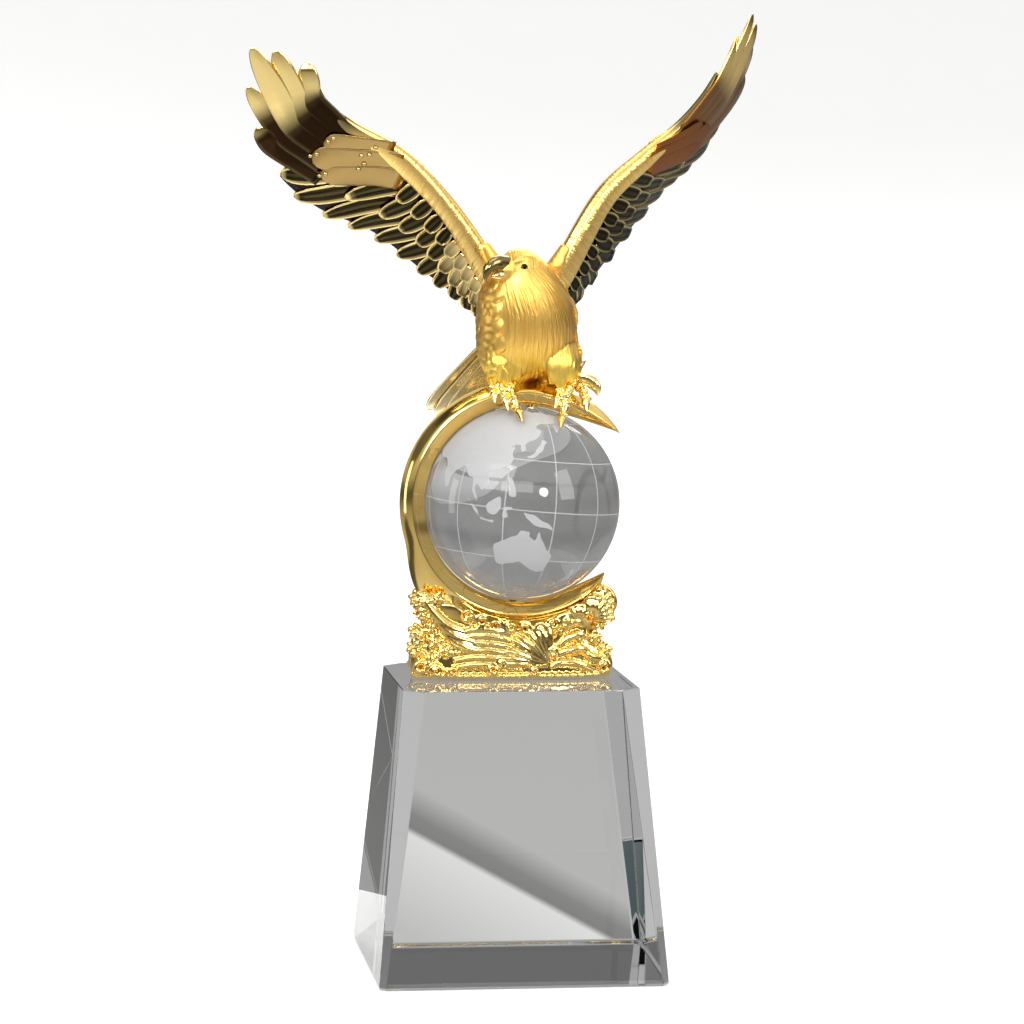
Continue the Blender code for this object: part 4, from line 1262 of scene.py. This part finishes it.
def wing(cast, shape, thick):
    """A whole wing: its web, its rows of feathers in front and behind, and its leading edge."""
    rim, wrist = shape["rim"], shape["wrist"]
    wing_plate(cast, shape)
    for row in SECONDARIES:
        wing_feather(cast, shape, row, (-0.2, 0.35), thick, fade=(0.93, 1.0), sections=14, edge=rim)
    wing_fingers(cast, shape, thick)
    for row in COVERTS:
        plump = row[0] < shape["plump"]
        wing_feather(cast, shape, row, (0.5, 1.1), thick, hollow=(0.25, 1.0) if plump else (1.0, 1.0),
                     fade=(0.88, 0.97), edge=rim)
    for row in SMALL_COVERTS:
        plump = row[0] < shape["plump"]
        wing_feather(cast, shape, row, (0.9, 1.7), thick, cup=0.3 if plump else 1.0,
                     hollow=(0.0, 0.9) if plump else (1.0, 1.0), fade=(0.86, 0.96), edge=rim)
    # The wrist's plates and knobs are painted dark by wrist: painted shade
    for number, row in enumerate(WRIST_PLATES):
        wing_feather(cast, shape, row, (1.5 + 0.05 * number, 1.9), thick * 0.35, cup=0.0,
                     hollow=(wrist, wrist), edge=1.0, fade=(1.5, 1.6), satin=(shape["dull"],) * 2,
                     point=5.0, root=1.0)
    for t, u in WRIST_KNOBS if shape["way"] > 0 else ():
        place, _ = wing_place(shape, t, u, 2.1)
        cast.ball(place[0], [0.85 * MM, 0.75 * MM, 0.65 * MM], 12, 8, hollow=wrist * 0.6)
    # The back of the wing, plainer: the same rows, domed and bright, with little painted shade
    behind = dict(thick=thick, back=True)
    for row in SECONDARIES:
        wing_feather(cast, shape, row, (0.5, 0.9), **behind, cup=0.25, hollow=(0.25, 0.1), satin=(0.2, 0.1))
    for rows, low in ((COVERTS, 1.0), (SMALL_COVERTS, 1.5)):
        for row in rows:
            wing_feather(cast, shape, row, (low, low + 0.8), **behind, cup=0.2, hollow=(0.2, 0.1),
                         satin=(0.6, 0.4))
    for row in WRIST_PLATES:
        wing_feather(cast, shape, row, (1.2, 1.6), **behind, cup=0.1, hollow=(0, 0), satin=(0.6, 0.4),
                     point=2.6)
    wing_band(cast, shape)


# The torso's rings: height, middle across, half width, middle in depth and half depth
TORSO = (
    (-0.6, 0.6, 5.4, 2.6, 2.8), (1.6, 0.3, 9.4, 2.0, 6.0), (4.4, 0.2, 11.6, 1.4, 8.4), (8.0, 0.1, 12.6, 0.7, 10.2),
    (12.0, 0.3, 13.1, -0.2, 11.4), (16.0, 0.3, 13.2, -0.8, 11.9), (20.6, 0.0, 12.8, -1.4, 11.6),
    (25.0, -0.5, 11.0, -2.2, 10.6), (28.6, -1.0, 8.8, -3.0, 8.9), (31.9, -1.5, 6.4, -4.0, 6.8),
    (34.6, -1.8, 3.4, -4.6, 3.8),
)
HEAD_LOOK = np.array((-0.84, -0.52, -0.06))
# Where each foot stands, in degrees round the globe, its thigh, its tufts (across, drop and girth)
# and its toes (from and to in degrees, and girth)
FEET = dict(
    right=dict(
        side=-10.0, thigh=(-5.6, 0.6, 8.6),
        tufts=((-8.6, -1.2, 2.2), (-5.4, -1.6, 2.1), (-2.6, -0.6, 1.6)),
        toes=(((-9.0, 1.0), (-5.5, 34.5), 1.25), ((-11.5, 1.0), (-12.0, 22.0), 1.20),
              ((-13.0, 1.0), (-17.5, 17.0), 1.15), ((-10.0, 1.0), (-9.0, -13.0), 1.10))),
    left=dict(
        side=20.0, thigh=(8.6, 1.2, 8.6),
        tufts=((6.2, -0.8, 2.0), (8.8, -5.4, 2.1), (11.4, -0.6, 1.8)),
        toes=(((21.0, 1.0), (20.5, 35.0), 1.25), ((18.0, 1.0), (15.5, 20.0), 1.15),
              ((23.0, 1.0), (33.0, 15.0), 1.15), ((20.0, 1.0), (22.0, -13.0), 1.10))),
)
BROWS = (((-4.6, -11.0, 32.6), (-1.4, -9.6, 33.4), (1.6, -7.8, 33.0)),
         ((-7.6, -3.6, 32.6), (-1.4, -2.0, 33.4), (-2.0, 0.4, 33.0)))
# Shoulders that run into the wings: share along the leading edge, way off it and girth
SHOULDERS = ((0.02, (0, 2.0, -4.0), 4.4), (0.10, (0, 1.2, -2.0), 3.6), (0.22, (0, 0.6, -0.4), 1.6))


def over_globe(side, tilt, reach):
    """Point round the globe: degrees to the side and degrees forward of the top."""
    a, b = math.radians(side), math.radians(tilt)
    way = np.array((math.sin(a) * math.cos(b), -math.sin(b), math.cos(a) * math.cos(b)))
    return np.array(GLOBE_CENTRE) + way * reach


def limb(cast, path, girth, *counts, **finish):
    """A tube whose girth is given in the eagle's own unit."""
    cast.tube(path, np.array(girth) * EAGLE_UNIT, *counts, **finish)


def head_turn():
    """The head's own axes as columns: ahead, to its side and up."""
    look = unit(HEAD_LOOK)
    side = unit(np.cross((0, 0, 1), look))
    return np.stack([look, side, np.cross(look, side)], 1)


def body_skin(detail):
    """Torso, neck, head and thighs melted into one skin."""
    cast = Casting()
    rows = spline(TORSO, np.linspace(0, 1, 24))
    angle = 2 * np.pi * np.arange(40) / 40
    rings = [pose((row[1], row[3], row[0])) + (np.cos(angle)[:, None] * BODY_ACROSS * row[2]
             + np.sin(angle)[:, None] * BODY_BACK * row[4]) * EAGLE_UNIT for row in rows]
    cast.loft(rings)
    turn = head_turn()
    # Skull, face and throat
    for centre, radii, counts in (((-2.4, -5.6, 30.6), (6.0, 5.3, 5.4), (32, 20)),
                                  ((-5.6, -7.6, 30.0), (3.9, 3.3, 3.5), (24, 16)),
                                  ((-3.2, -6.0, 27.0), (5.6, 5.4, 5.0), (24, 16))):
        cast.ball(pose(centre), np.array(radii) * EAGLE_UNIT, *counts, turn)
    for brow in BROWS:
        limb(cast, pose(brow), (0.5, 1.0, 0.5), 10, 9)
    for foot in FEET.values():
        ankle = over_globe(foot["side"], 3.0, RING_OUTER + 2.9 * EAGLE_UNIT)
        top = pose(foot["thigh"])
        knee = (top + ankle) / 2 + np.array((0, -0.9 * EAGLE_UNIT, 0))
        limb(cast, [top + np.array((0, 0, 3.0 * EAGLE_UNIT)), knee, ankle], (4.6, 5.0, 2.8), 20, 9)
        # Feathers of the thigh, that hang down over the foot
        for across, drop, girth in foot["tufts"]:
            path = pose(((across * 0.8, -1.5, 13.0), (across * 0.9, -5.2, 8.0), (across, -6.1, 3.6),
                         (across * 1.02, -5.8, drop)))
            limb(cast, path, (1.4, 1.9, girth, 0.3), 12, 12)
    for shape in (RIGHT_WING, LEFT_WING):
        lead = pose(shape["leading"])
        path = [spline(lead, at)[0] + np.array(off) * EAGLE_UNIT for at, off, _ in SHOULDERS]
        limb(cast, path, [girth for _, _, girth in SHOULDERS], 16, 7)
    return fuse(cast.piece("eagle_skin"), detail, 9, 0.5)


def strand_flow(points):
    """How far across the combed breast each point lies, in the flow of its strands."""
    p = (points - np.array(PERCH)) / EAGLE_UNIT
    drop = np.clip(31.0 - p[:, 2], 0, 40)
    width = 5.2 + 9.6 * (1 - np.exp(-drop / 7.0))
    return (p[:, 0] + 4.6 - 3.6 * ease(drop, 0, 16)) / width


def lay_scales(cast, tree):
    """Small domed feathers over the eagle's back and sides, laid on the skin that tree holds."""
    chance = random.Random(7)
    for level in range(14):
        z = 31.0 - level * 2.2
        for step in range(20):
            angle = math.radians((step + 0.5 * (level % 2) + chance.uniform(-0.12, 0.12)) * 360 / 20)
            out = BODY_ACROSS * math.cos(angle) + BODY_BACK * math.sin(angle)
            front = -out[1]
            # The combed breast and the face stay free of them
            if front > 0.12 and out[0] > -0.66 or z > 27 and front > -0.2:
                continue
            spots = []
            for drop, lift in ((1.8, -0.35), (0.2, 0.15), (-1.4, 0.45), (-2.9, 0.35)):
                start = pose((0, 0, z + drop)) + out * 40 * EAGLE_UNIT
                hit, normal, _, _ = tree.ray_cast(Vector(start), Vector(-out))
                if hit is None:
                    break
                spots.append((np.array(hit) + np.array(normal) * lift * MM, np.array(normal)))
            if len(spots) < 4:
                continue
            feather(cast, [s[0] for s in spots], spots[2][1], chance.uniform(4.4, 5.6) * MM, 0.62 * MM,
                    cup=0.0, point=2.0, root=0.8, sections=8)


def mark_body(body):
    """Combs the breast, leaves the cheek, crown and back plain, and paints shade into the gap between the legs."""
    points = points_of(body)
    p = (points - np.array(PERCH)) / EAGLE_UNIT
    cheek = np.exp(-(((p[:, 0] + 3.6) / 3.2) ** 2 + ((p[:, 2] - 28.0) / 2.6) ** 2))
    plain = ease(p[:, 2], 30.5, 33.5) * 0.6 + ease(-p[:, 0], 5.6, 7.6) * 0.9 + ease(p[:, 1], 2.0, 5.0)
    # Painted shade in the gap between the legs
    painted_gap_shade = np.exp(-(((p[:, 0] - 1.6) / 2.4) ** 2 + ((p[:, 2] - 0.4) / 1.7) ** 2)) * (p[:, 1] < 2)
    mark_points(body, satin=1.0, hollow=np.clip(painted_gap_shade * 1.2, 0, 0.9), flow=strand_flow(points),
                strand=np.clip(1.0 - 0.85 * cheek - plain, 0, 1))


def lay_tail(tail):
    """Seven broad tail feathers, the middle one on top, and the spur at the left foot."""
    root, end = pose((-1.5, 5.0, 11.5)), pose((-15.2, 22.8, -10.4))
    along = unit(end - root)
    look = unit(np.cross(BODY_ACROSS, along))
    if look[1] > 0:
        look = -look
    for number in (0, 6, 1, 5, 2, 4, 3):
        u = (number - 3) / 3
        start = root + BODY_ACROSS * (u * 5.2 * EAGLE_UNIT)
        stop = end + BODY_ACROSS * (u * 8.8 * EAGLE_UNIT) + along * ((1.5 - 2.4 * u * u) * EAGLE_UNIT)
        sag = look * (-1.6 * u * u * EAGLE_UNIT + (3 - abs(number - 3)) * 0.12 * MM)
        path = [start + sag, start * 0.6 + stop * 0.4 + sag + look * 0.3 * MM,
                start * 0.25 + stop * 0.75 + sag, stop + sag]
        # A trace of painted shade at the feathers' roots
        feather(tail, path, look, 8.6 * MM, 0.8 * MM, cup=0.0, point=3.4, root=0.7, sections=14,
                hollow=(0.05, 0.0), satin=(0.5, 0.3))
    # The spur is half darkened with painted shade
    limb(tail, pose(((9.0, 1.5, 2.0), (12.8, 1.6, 2.4), (16.6, 2.0, 5.8))), (1.8, 1.7, 0.2), 12, 9, hollow=0.5)


def lay_beak(head):
    """Hooked beak painted dark on top with painted shade, lower jaw, and painted shade at the corner and nostril."""
    beak = pose(((-5.8, -8.0, 31.6), (-9.2, -10.2, 31.9), (-11.6, -11.7, 30.6), (-12.3, -12.1, 28.2),
                 (-11.8, -11.8, 27.0)))
    # Painted shade darkens the beak's top
    limb(head, beak, (2.4, 2.15, 1.55, 0.75, 0.1), 20, 20, flat=0.85, hollow=0.72)
    jaw = pose(((-5.4, -7.8, 28.9), (-8.4, -9.8, 28.7), (-10.6, -11.1, 28.6)))
    limb(head, jaw, (1.9, 1.45, 0.35), 14, 10, flat=0.85, hollow=0.0)
    for spot, size in (((-6.9, -9.6, 29.9), 1.1), ((-8.3, -11.9, 31.6), 0.45)):
        head.ball(pose(spot), np.array((1.3, 1.0, 0.5)) * size * EAGLE_UNIT, 12, 8, head_turn(), hollow=1.0)


def lay_eyes(eyes, tree):
    """A dark eye in a satin socket, both painted dark with painted shade, on each side of the head that a ray meets.
    """
    for start, way in ((pose((-1.9, -40, 31.2)), (0, 1, 0)), (pose((-7.4, 20, 31.2)), (0.1, -1, 0))):
        hit, normal, _, _ = tree.ray_cast(Vector(start), Vector(way))
        if hit is not None:
            hit, normal = np.array(hit), np.array(normal)
            eyes.ball(hit - normal * 0.25 * MM, [0.95 * MM] * 3, 20, 12, hollow=1.0)
            eyes.ball(hit - normal * 0.75 * MM, [1.45 * MM, 1.3 * MM, 0.95 * MM], 20, 12,
                      satin=0.8, hollow=0.6)


# Gap between the toes and what they grip: the arm, and the globe in front of it
ARM_GAP, GLOBE_GAP = 0.35 * MM, 0.7 * MM
KNUCKLES = np.array((1.1, 0.8, 1.15, 0.78, 1.1, 0.75, 1.0, 0.6, 0.22))


def lay_feet(feet):
    """Legs and knobbly toes that grip the arm and reach down over the globe, and a loose claw."""
    chance = random.Random(3)
    for foot in FEET.values():
        ankle = over_globe(foot["side"], 2.0, RING_OUTER + 2.9 * EAGLE_UNIT)
        pad = over_globe(foot["side"], 1.5, RING_OUTER + 0.3 * MM + 1.4 * EAGLE_UNIT)
        limb(feet, [ankle, pad], (2.1, 2.0), 12, 4)
        for start, stop, girth in foot["toes"]:
            radius = girth * EAGLE_UNIT
            spots = []
            for t in np.linspace(0, 1, 9):
                side, tilt = (a + (b - a) * t for a, b in zip(start, stop))
                drop = min(max((abs(tilt) - 6.0) / 16.0, 0.0), 1.0)
                down = GLOBE_HIGH.z - GLOBE_CENTRE.z + GLOBE_GAP - RING_OUTER - ARM_GAP
                spots.append(over_globe(side, tilt, RING_OUTER + ARM_GAP + down * drop + radius))
            feet.tube(spots, radius * KNUCKLES, 12, 25)
            for spot in spots[:-2]:
                away = unit(spot - np.array(GLOBE_CENTRE))
                for _ in range(4):
                    nudge = np.array([chance.uniform(-1, 1) for _ in range(3)]) * radius * 0.8
                    feet.ball(spot + away * radius * 0.5 + nudge,
                              [radius * chance.uniform(0.34, 0.56)] * 3, 10, 7)
    claw = pose(((13.4, -2.6, 1.6), (16.6, -3.6, 0.8), (18.6, -4.2, -1.2), (19.0, -4.2, -3.4)))
    limb(feet, claw, (1.5, 1.8, 1.5, 0.2), 12, 14, flat=0.6)


class TROPHY_OT_eagle(bpy.types.Operator):
    """Model the eagle: its combed body, feathered wings, tail, head and feet"""

    bl_idname = "trophy.eagle"
    bl_label = "Eagle"

    def execute(self, context):
        settings, gilt = context.scene.trophy_eagle, context.scene.trophy_gilt
        plumage = mix_plumage("satin_gilt_looks", gilt, settings.strands)

        for name, shape in (("right_wing", RIGHT_WING), ("left_wing", LEFT_WING)):
            cast = Casting()
            wing(cast, shape, settings.vane)
            wear(cast.piece(f"eagle_{name}"), plumage, "stand", "satin_gilt", "eagle")

        skin = body_skin(settings.skin)
        tree = BVHTree.FromPolygons([Vector(v) for v in points_of(skin)],
                                    [tuple(f.vertices) for f in skin.data.polygons])
        scales = Casting()
        lay_scales(scales, tree)
        body = fuse(merge("eagle_body", [skin, scales.piece("eagle_scales")]), 0.34 * MM, 3, 0.5)
        mark_body(body)
        wear(body, plumage, "stand", "satin_gilt", "eagle")

        tail = Casting()
        lay_tail(tail)
        # The tail is painted paler, a painted highlight
        tail_gilt = mix_plumage("painted_highlight_gilt_looks", gilt, settings.strands, 0.75)
        wear(tail.piece("eagle_tail"), tail_gilt, "stand", "satin_gilt", "eagle")

        head = Casting()
        lay_beak(head)
        wear(head.piece("eagle_beak"), plumage, "stand", "satin_gilt", "eagle")
        eyes = Casting()
        lay_eyes(eyes, tree)
        wear(eyes.piece("eagle_eyes"), plumage, "stand", "satin_gilt", "eagle")

        feet = Casting()
        lay_feet(feet)
        toes = fuse(feet.piece("eagle_feet"), 0.24 * MM, 1, 0.4)
        mark_points(toes, satin=0.0, hollow=0.0, flow=0.0, strand=0.0)
        wear(toes, plumage, "stand", "satin_gilt", "eagle")
        return {"FINISHED"}


# Stage


# The camera's direction and roll in degrees, its distance and lens, and the middle of its picture
CAMERA_TURN, CAMERA_PITCH, CAMERA_ROLL = -7.52, 4.93, 0.46
CAMERA_FAR, CAMERA_LENS = 1.260, 144.0
CAMERA_AIM, CAMERA_SHIFT = (0, 0, 0.1399), 0.00049


def camera_matrix():
    """Where the photograph was taken from: a little above and to the left, with a slight roll."""
    turn, pitch, roll = (math.radians(a) for a in (CAMERA_TURN, CAMERA_PITCH, CAMERA_ROLL))
    back = Vector((math.sin(turn) * math.cos(pitch), -math.cos(turn) * math.cos(pitch), math.sin(pitch)))
    right = Vector((math.cos(turn), math.sin(turn), 0))
    up = back.cross(right)
    level = right * math.cos(roll) + up * math.sin(roll)
    upright = -right * math.sin(roll) + up * math.cos(roll)
    matrix = Matrix((level, upright, back)).transposed().to_4x4()
    matrix.translation = Vector(CAMERA_AIM) + level * CAMERA_SHIFT + back * CAMERA_FAR
    return matrix


WHITE = (1, 1, 1)
# Soft boxes: name, azimuth, elevation, distance, size, share of the key's power and colour
LIGHTS = (
    ("key_box", -38, 34, 0.9, (0.5, 0.5), 0.85, WHITE),
    ("front_box", -14, 24, 1.5, (1.0, 0.35), 0.85, WHITE),
    ("fill_box", 48, 22, 1.1, (0.35, 0.6), 0.6, WHITE),
    ("left_strip", -98, 5, 0.8, (0.14, 0.4), 0.10, (1.0, 0.97, 0.9)),
    ("back_box", 160, 40, 1.1, (0.7, 0.4), 0.9, WHITE),
    ("top_box", 0, 85, 0.9, (0.6, 0.6), 0.5, WHITE),
)
# The room by height, 0 straight down and 1 straight up: as the gilt mirrors it, and through crystal
ROOM_MIRRORED = ((0.0, 1.1), (0.15, 1.0), (0.28, 0.66), (0.43, 0.40), (0.485, 0.12), (0.52, 0.12),
                 (0.58, 0.46), (0.64, 0.62), (0.80, 1.1), (1.0, 0.6))
ROOM_THROUGH = ((0.0, 0.42), (0.28, 0.40), (0.34, 0.54), (0.40, 0.48), (0.44, 0.40), (0.555, 0.36),
                (0.585, 0.14), (0.61, 0.14), (0.64, 0.34), (0.80, 0.42), (1.0, 0.44))
# The soft shade that slants through the block, across its edge
SLANT = ((0.0, 1.0), (0.25, 1.1), (0.36, 1.3), (0.488, 1.55), (0.505, 0.45), (0.54, 0.50), (0.61, 1.0),
         (1.0, 1.0))
# Dark panels at the left, that the arm's flank mirrors round its highlight: direction and width
DARK_PANELS = (((-0.79, 0.16, 0.59), 29.0), ((-0.46, 0.07, 0.88), 24.0), ((-0.86, 0.14, -0.47), 21.0))
PANEL_COLOUR = (0.05, 0.045, 0.035, 1)
# Dark corners seen through the crystal: direction, width, share and colour
DARK_CORNERS = (((-0.72, 0.0, 0.68), 20.0, 0.9, (0.015, 0.05, 0.055, 1)),
                ((-0.81, 0.10, -0.56), 9.0, 0.75, (0.08, 0.09, 0.10, 1)))
FLOOR_RADIUS, FLOOR_DROP = 0.15, 0.05 * MM
SWEEP_ROWS, SWEEP_SIDES = 14, 96


def add_light(name, azimuth, elevation, far, size, power, colour=WHITE, aim=(0, 0, 0.15)):
    """Soft box at a direction from the object, facing it."""
    a, e = math.radians(azimuth), math.radians(elevation)
    away = Vector((math.sin(a) * math.cos(e), -math.cos(a) * math.cos(e), math.sin(e)))
    data = bpy.data.lights.new(name, "AREA")
    data.shape = "RECTANGLE"
    data.size, data.size_y = size
    data.energy, data.color = power, colour
    light = bpy.data.objects.new(name, data)
    bpy.context.collection.objects.link(light)
    light.location = Vector(aim) + away * far
    light.visible_transmission = False
    light.rotation_mode = "QUATERNION"
    light.rotation_quaternion = away.to_track_quat("Z", "Y")
    return light


class StageSettings(bpy.types.PropertyGroup):
    """Brightness and colour of the stage"""

    floor: tone("Floor", "Colour of the floor and the sweep behind it", 0.90, 0.90, 0.90)
    key: bpy.props.FloatProperty(
        name="Key light", description="Power of the main soft box in watts", default=4.5, min=0)
    room: bpy.props.FloatProperty(
        name="Room", description="Brightness of the room that the plating mirrors", default=0.82, min=0)


class TROPHY_OT_stage(bpy.types.Operator):
    """Set up the pale floor, the soft lights, the room and the camera"""

    bl_idname = "trophy.stage"
    bl_label = "Stage, lights and camera"

    def execute(self, context):
        settings = context.scene.trophy_stage
        deselect()
        bpy.ops.mesh.primitive_circle_add(vertices=96, radius=FLOOR_RADIUS, fill_type="NGON",
                                          location=(0, 0, -FLOOR_DROP))
        floor = context.object
        floor.name = "pale_floor"
        open_mesh(floor)
        bpy.ops.mesh.inset(thickness=0.05)
        bpy.ops.object.mode_set(mode="OBJECT")
        finish = Finish("pale_floor", Emission_Color=(1, 1, 1, 1), Emission_Strength=0.30)
        grain = finish.noise(40.0, 3.0)
        darker = [c * 0.97 for c in settings.floor[:3]] + [1]
        finish.set(Base_Color=finish.blend(grain, list(settings.floor), darker), Roughness=grain * 0.1 + 0.5)
        floor.data.materials.append(finish.material)
        sweep = Casting()
        rings = []
        angle = 2 * np.pi * np.arange(SWEEP_SIDES) / SWEEP_SIDES
        for k in range(SWEEP_ROWS):
            bent = (k - 1) / 12 * math.pi / 2
            reach = (0.149, 0.69)[k > 0] + (0.0 if k < 2 else 1.6 * math.sin(bent))
            height = -0.0002 + (0.0 if k < 2 else 3.0 * (1 - math.cos(bent)))
            rings.append(np.stack([reach * np.cos(angle), reach * np.sin(angle),
                                   np.full(SWEEP_SIDES, height)], 1))
        faces = []
        for r in range(SWEEP_ROWS - 1):
            for k in range(SWEEP_SIDES):
                near, far, j = r * SWEEP_SIDES, (r + 1) * SWEEP_SIDES, (k + 1) % SWEEP_SIDES
                faces.append((near + k, near + j, far + j, far + k))
        sweep.add(rings, faces)
        wall = sweep.piece("pale_sweep")
        wall.data.materials.append(finish.material)
        floor.visible_transmission = False
        wall.visible_glossy = wall.visible_transmission = wall.visible_diffuse = wall.visible_shadow = False

        sky = Sky("studio_room")
        lift = sky.z * 0.5 + 0.5
        seen, through = sky.ramp(lift, ROOM_MIRRORED), sky.ramp(lift, ROOM_THROUGH)
        for way, wide in DARK_PANELS:
            seen = sky.spot(seen, way, wide, 0.88, PANEL_COLOUR)
        slant = sky.ramp((sky.z + sky.x * 0.559 + 0.25) * 10.0, SLANT)
        # The shade stands at the back, right of the middle and above the lower edge
        where = (sky.step(sky.x, 0.0, 0.05) * sky.step(sky.x, 0.30, 0.22) * sky.step(sky.y, 0.5, 0.8)
                 * sky.step(sky.z, -0.12, -0.16))
        through = sky.node("ShaderNodeMix", dict(data_type="RGBA", blend_type="MULTIPLY"),
                           {0: where, 6: through, 7: slant}, 2)
        for way, wide, share, dark in DARK_CORNERS:
            through = sky.spot(through, way, wide, share, dark)
        shades = [sky.node("ShaderNodeBackground", {}, {"Color": colour, "Strength": strength})
                  for colour, strength in ((seen, settings.room), (through, 1.0))]
        kind = sky.node("ShaderNodeLightPath", {}, {}, "Is Transmission Ray")
        both = sky.node("ShaderNodeMixShader", {}, {0: kind, 1: shades[0], 2: shades[1]})
        sky.node("ShaderNodeOutputWorld", {}, {0: both}, None)
        context.scene.world = sky.world

        for name, azimuth, elevation, far, size, share, colour in LIGHTS:
            add_light(name, azimuth, elevation, far, size, settings.key * share, colour)
        lamp = add_light("small_lamp", 18.5, 17, 1.3, (0.24, 0.24), settings.key * 0.6, aim=tuple(GLOBE_CENTRE))
        lamp.data.shape = "DISK"

        data = bpy.data.cameras.new("photo_camera")
        data.sensor_width, data.lens = 36.0, CAMERA_LENS
        data.clip_start, data.clip_end = 0.05, 20.0
        camera = bpy.data.objects.new("photo_camera", data)
        context.collection.objects.link(camera)
        camera.matrix_world = camera_matrix()
        context.scene.camera = camera
        context.scene.view_settings.view_transform = "Standard"
        return {"FINISHED"}


class TROPHY_PT_parts(bpy.types.Panel):
    """Lists the trophy's parts in the sidebar"""

    bl_idname = "TROPHY_PT_parts"
    bl_label = "Trophy"
    bl_space_type = "VIEW_3D"
    bl_region_type = "UI"
    bl_category = "Trophy"

    def draw(self, context):
        column = self.layout.column(align=True)
        for operator in OPERATORS:
            column.operator(operator.bl_idname)
        for name in SETTINGS:
            box = self.layout.box()
            group = getattr(context.scene, name)
            for item in group.bl_rna.properties:
                if item.identifier not in ("rna_type", "name"):
                    box.prop(group, item.identifier)


OPERATORS = (TROPHY_OT_stage, TROPHY_OT_block, TROPHY_OT_globe, TROPHY_OT_pins, TROPHY_OT_base, TROPHY_OT_eagle)
SETTINGS = dict(trophy_block=BlockSettings, trophy_globe=GlobeSettings, trophy_gilt=GiltSettings,
                trophy_base=BaseSettings, trophy_eagle=EagleSettings, trophy_stage=StageSettings)


def register():
    for group in SETTINGS.values():
        bpy.utils.register_class(group)
    for name, group in SETTINGS.items():
        setattr(bpy.types.Scene, name, bpy.props.PointerProperty(type=group))
    for operator in OPERATORS:
        bpy.utils.register_class(operator)
    bpy.utils.register_class(TROPHY_PT_parts)


def unregister():
    bpy.utils.unregister_class(TROPHY_PT_parts)
    for operator in reversed(OPERATORS):
        bpy.utils.unregister_class(operator)
    for name, group in SETTINGS.items():
        delattr(bpy.types.Scene, name)
        bpy.utils.unregister_class(group)


def main():
    register()
    bpy.ops.trophy.stage()
    bpy.ops.trophy.block()
    bpy.ops.trophy.globe()
    bpy.ops.trophy.pins()
    bpy.ops.trophy.base()
    bpy.ops.trophy.eagle()


if __name__ == "__main__":
    main()
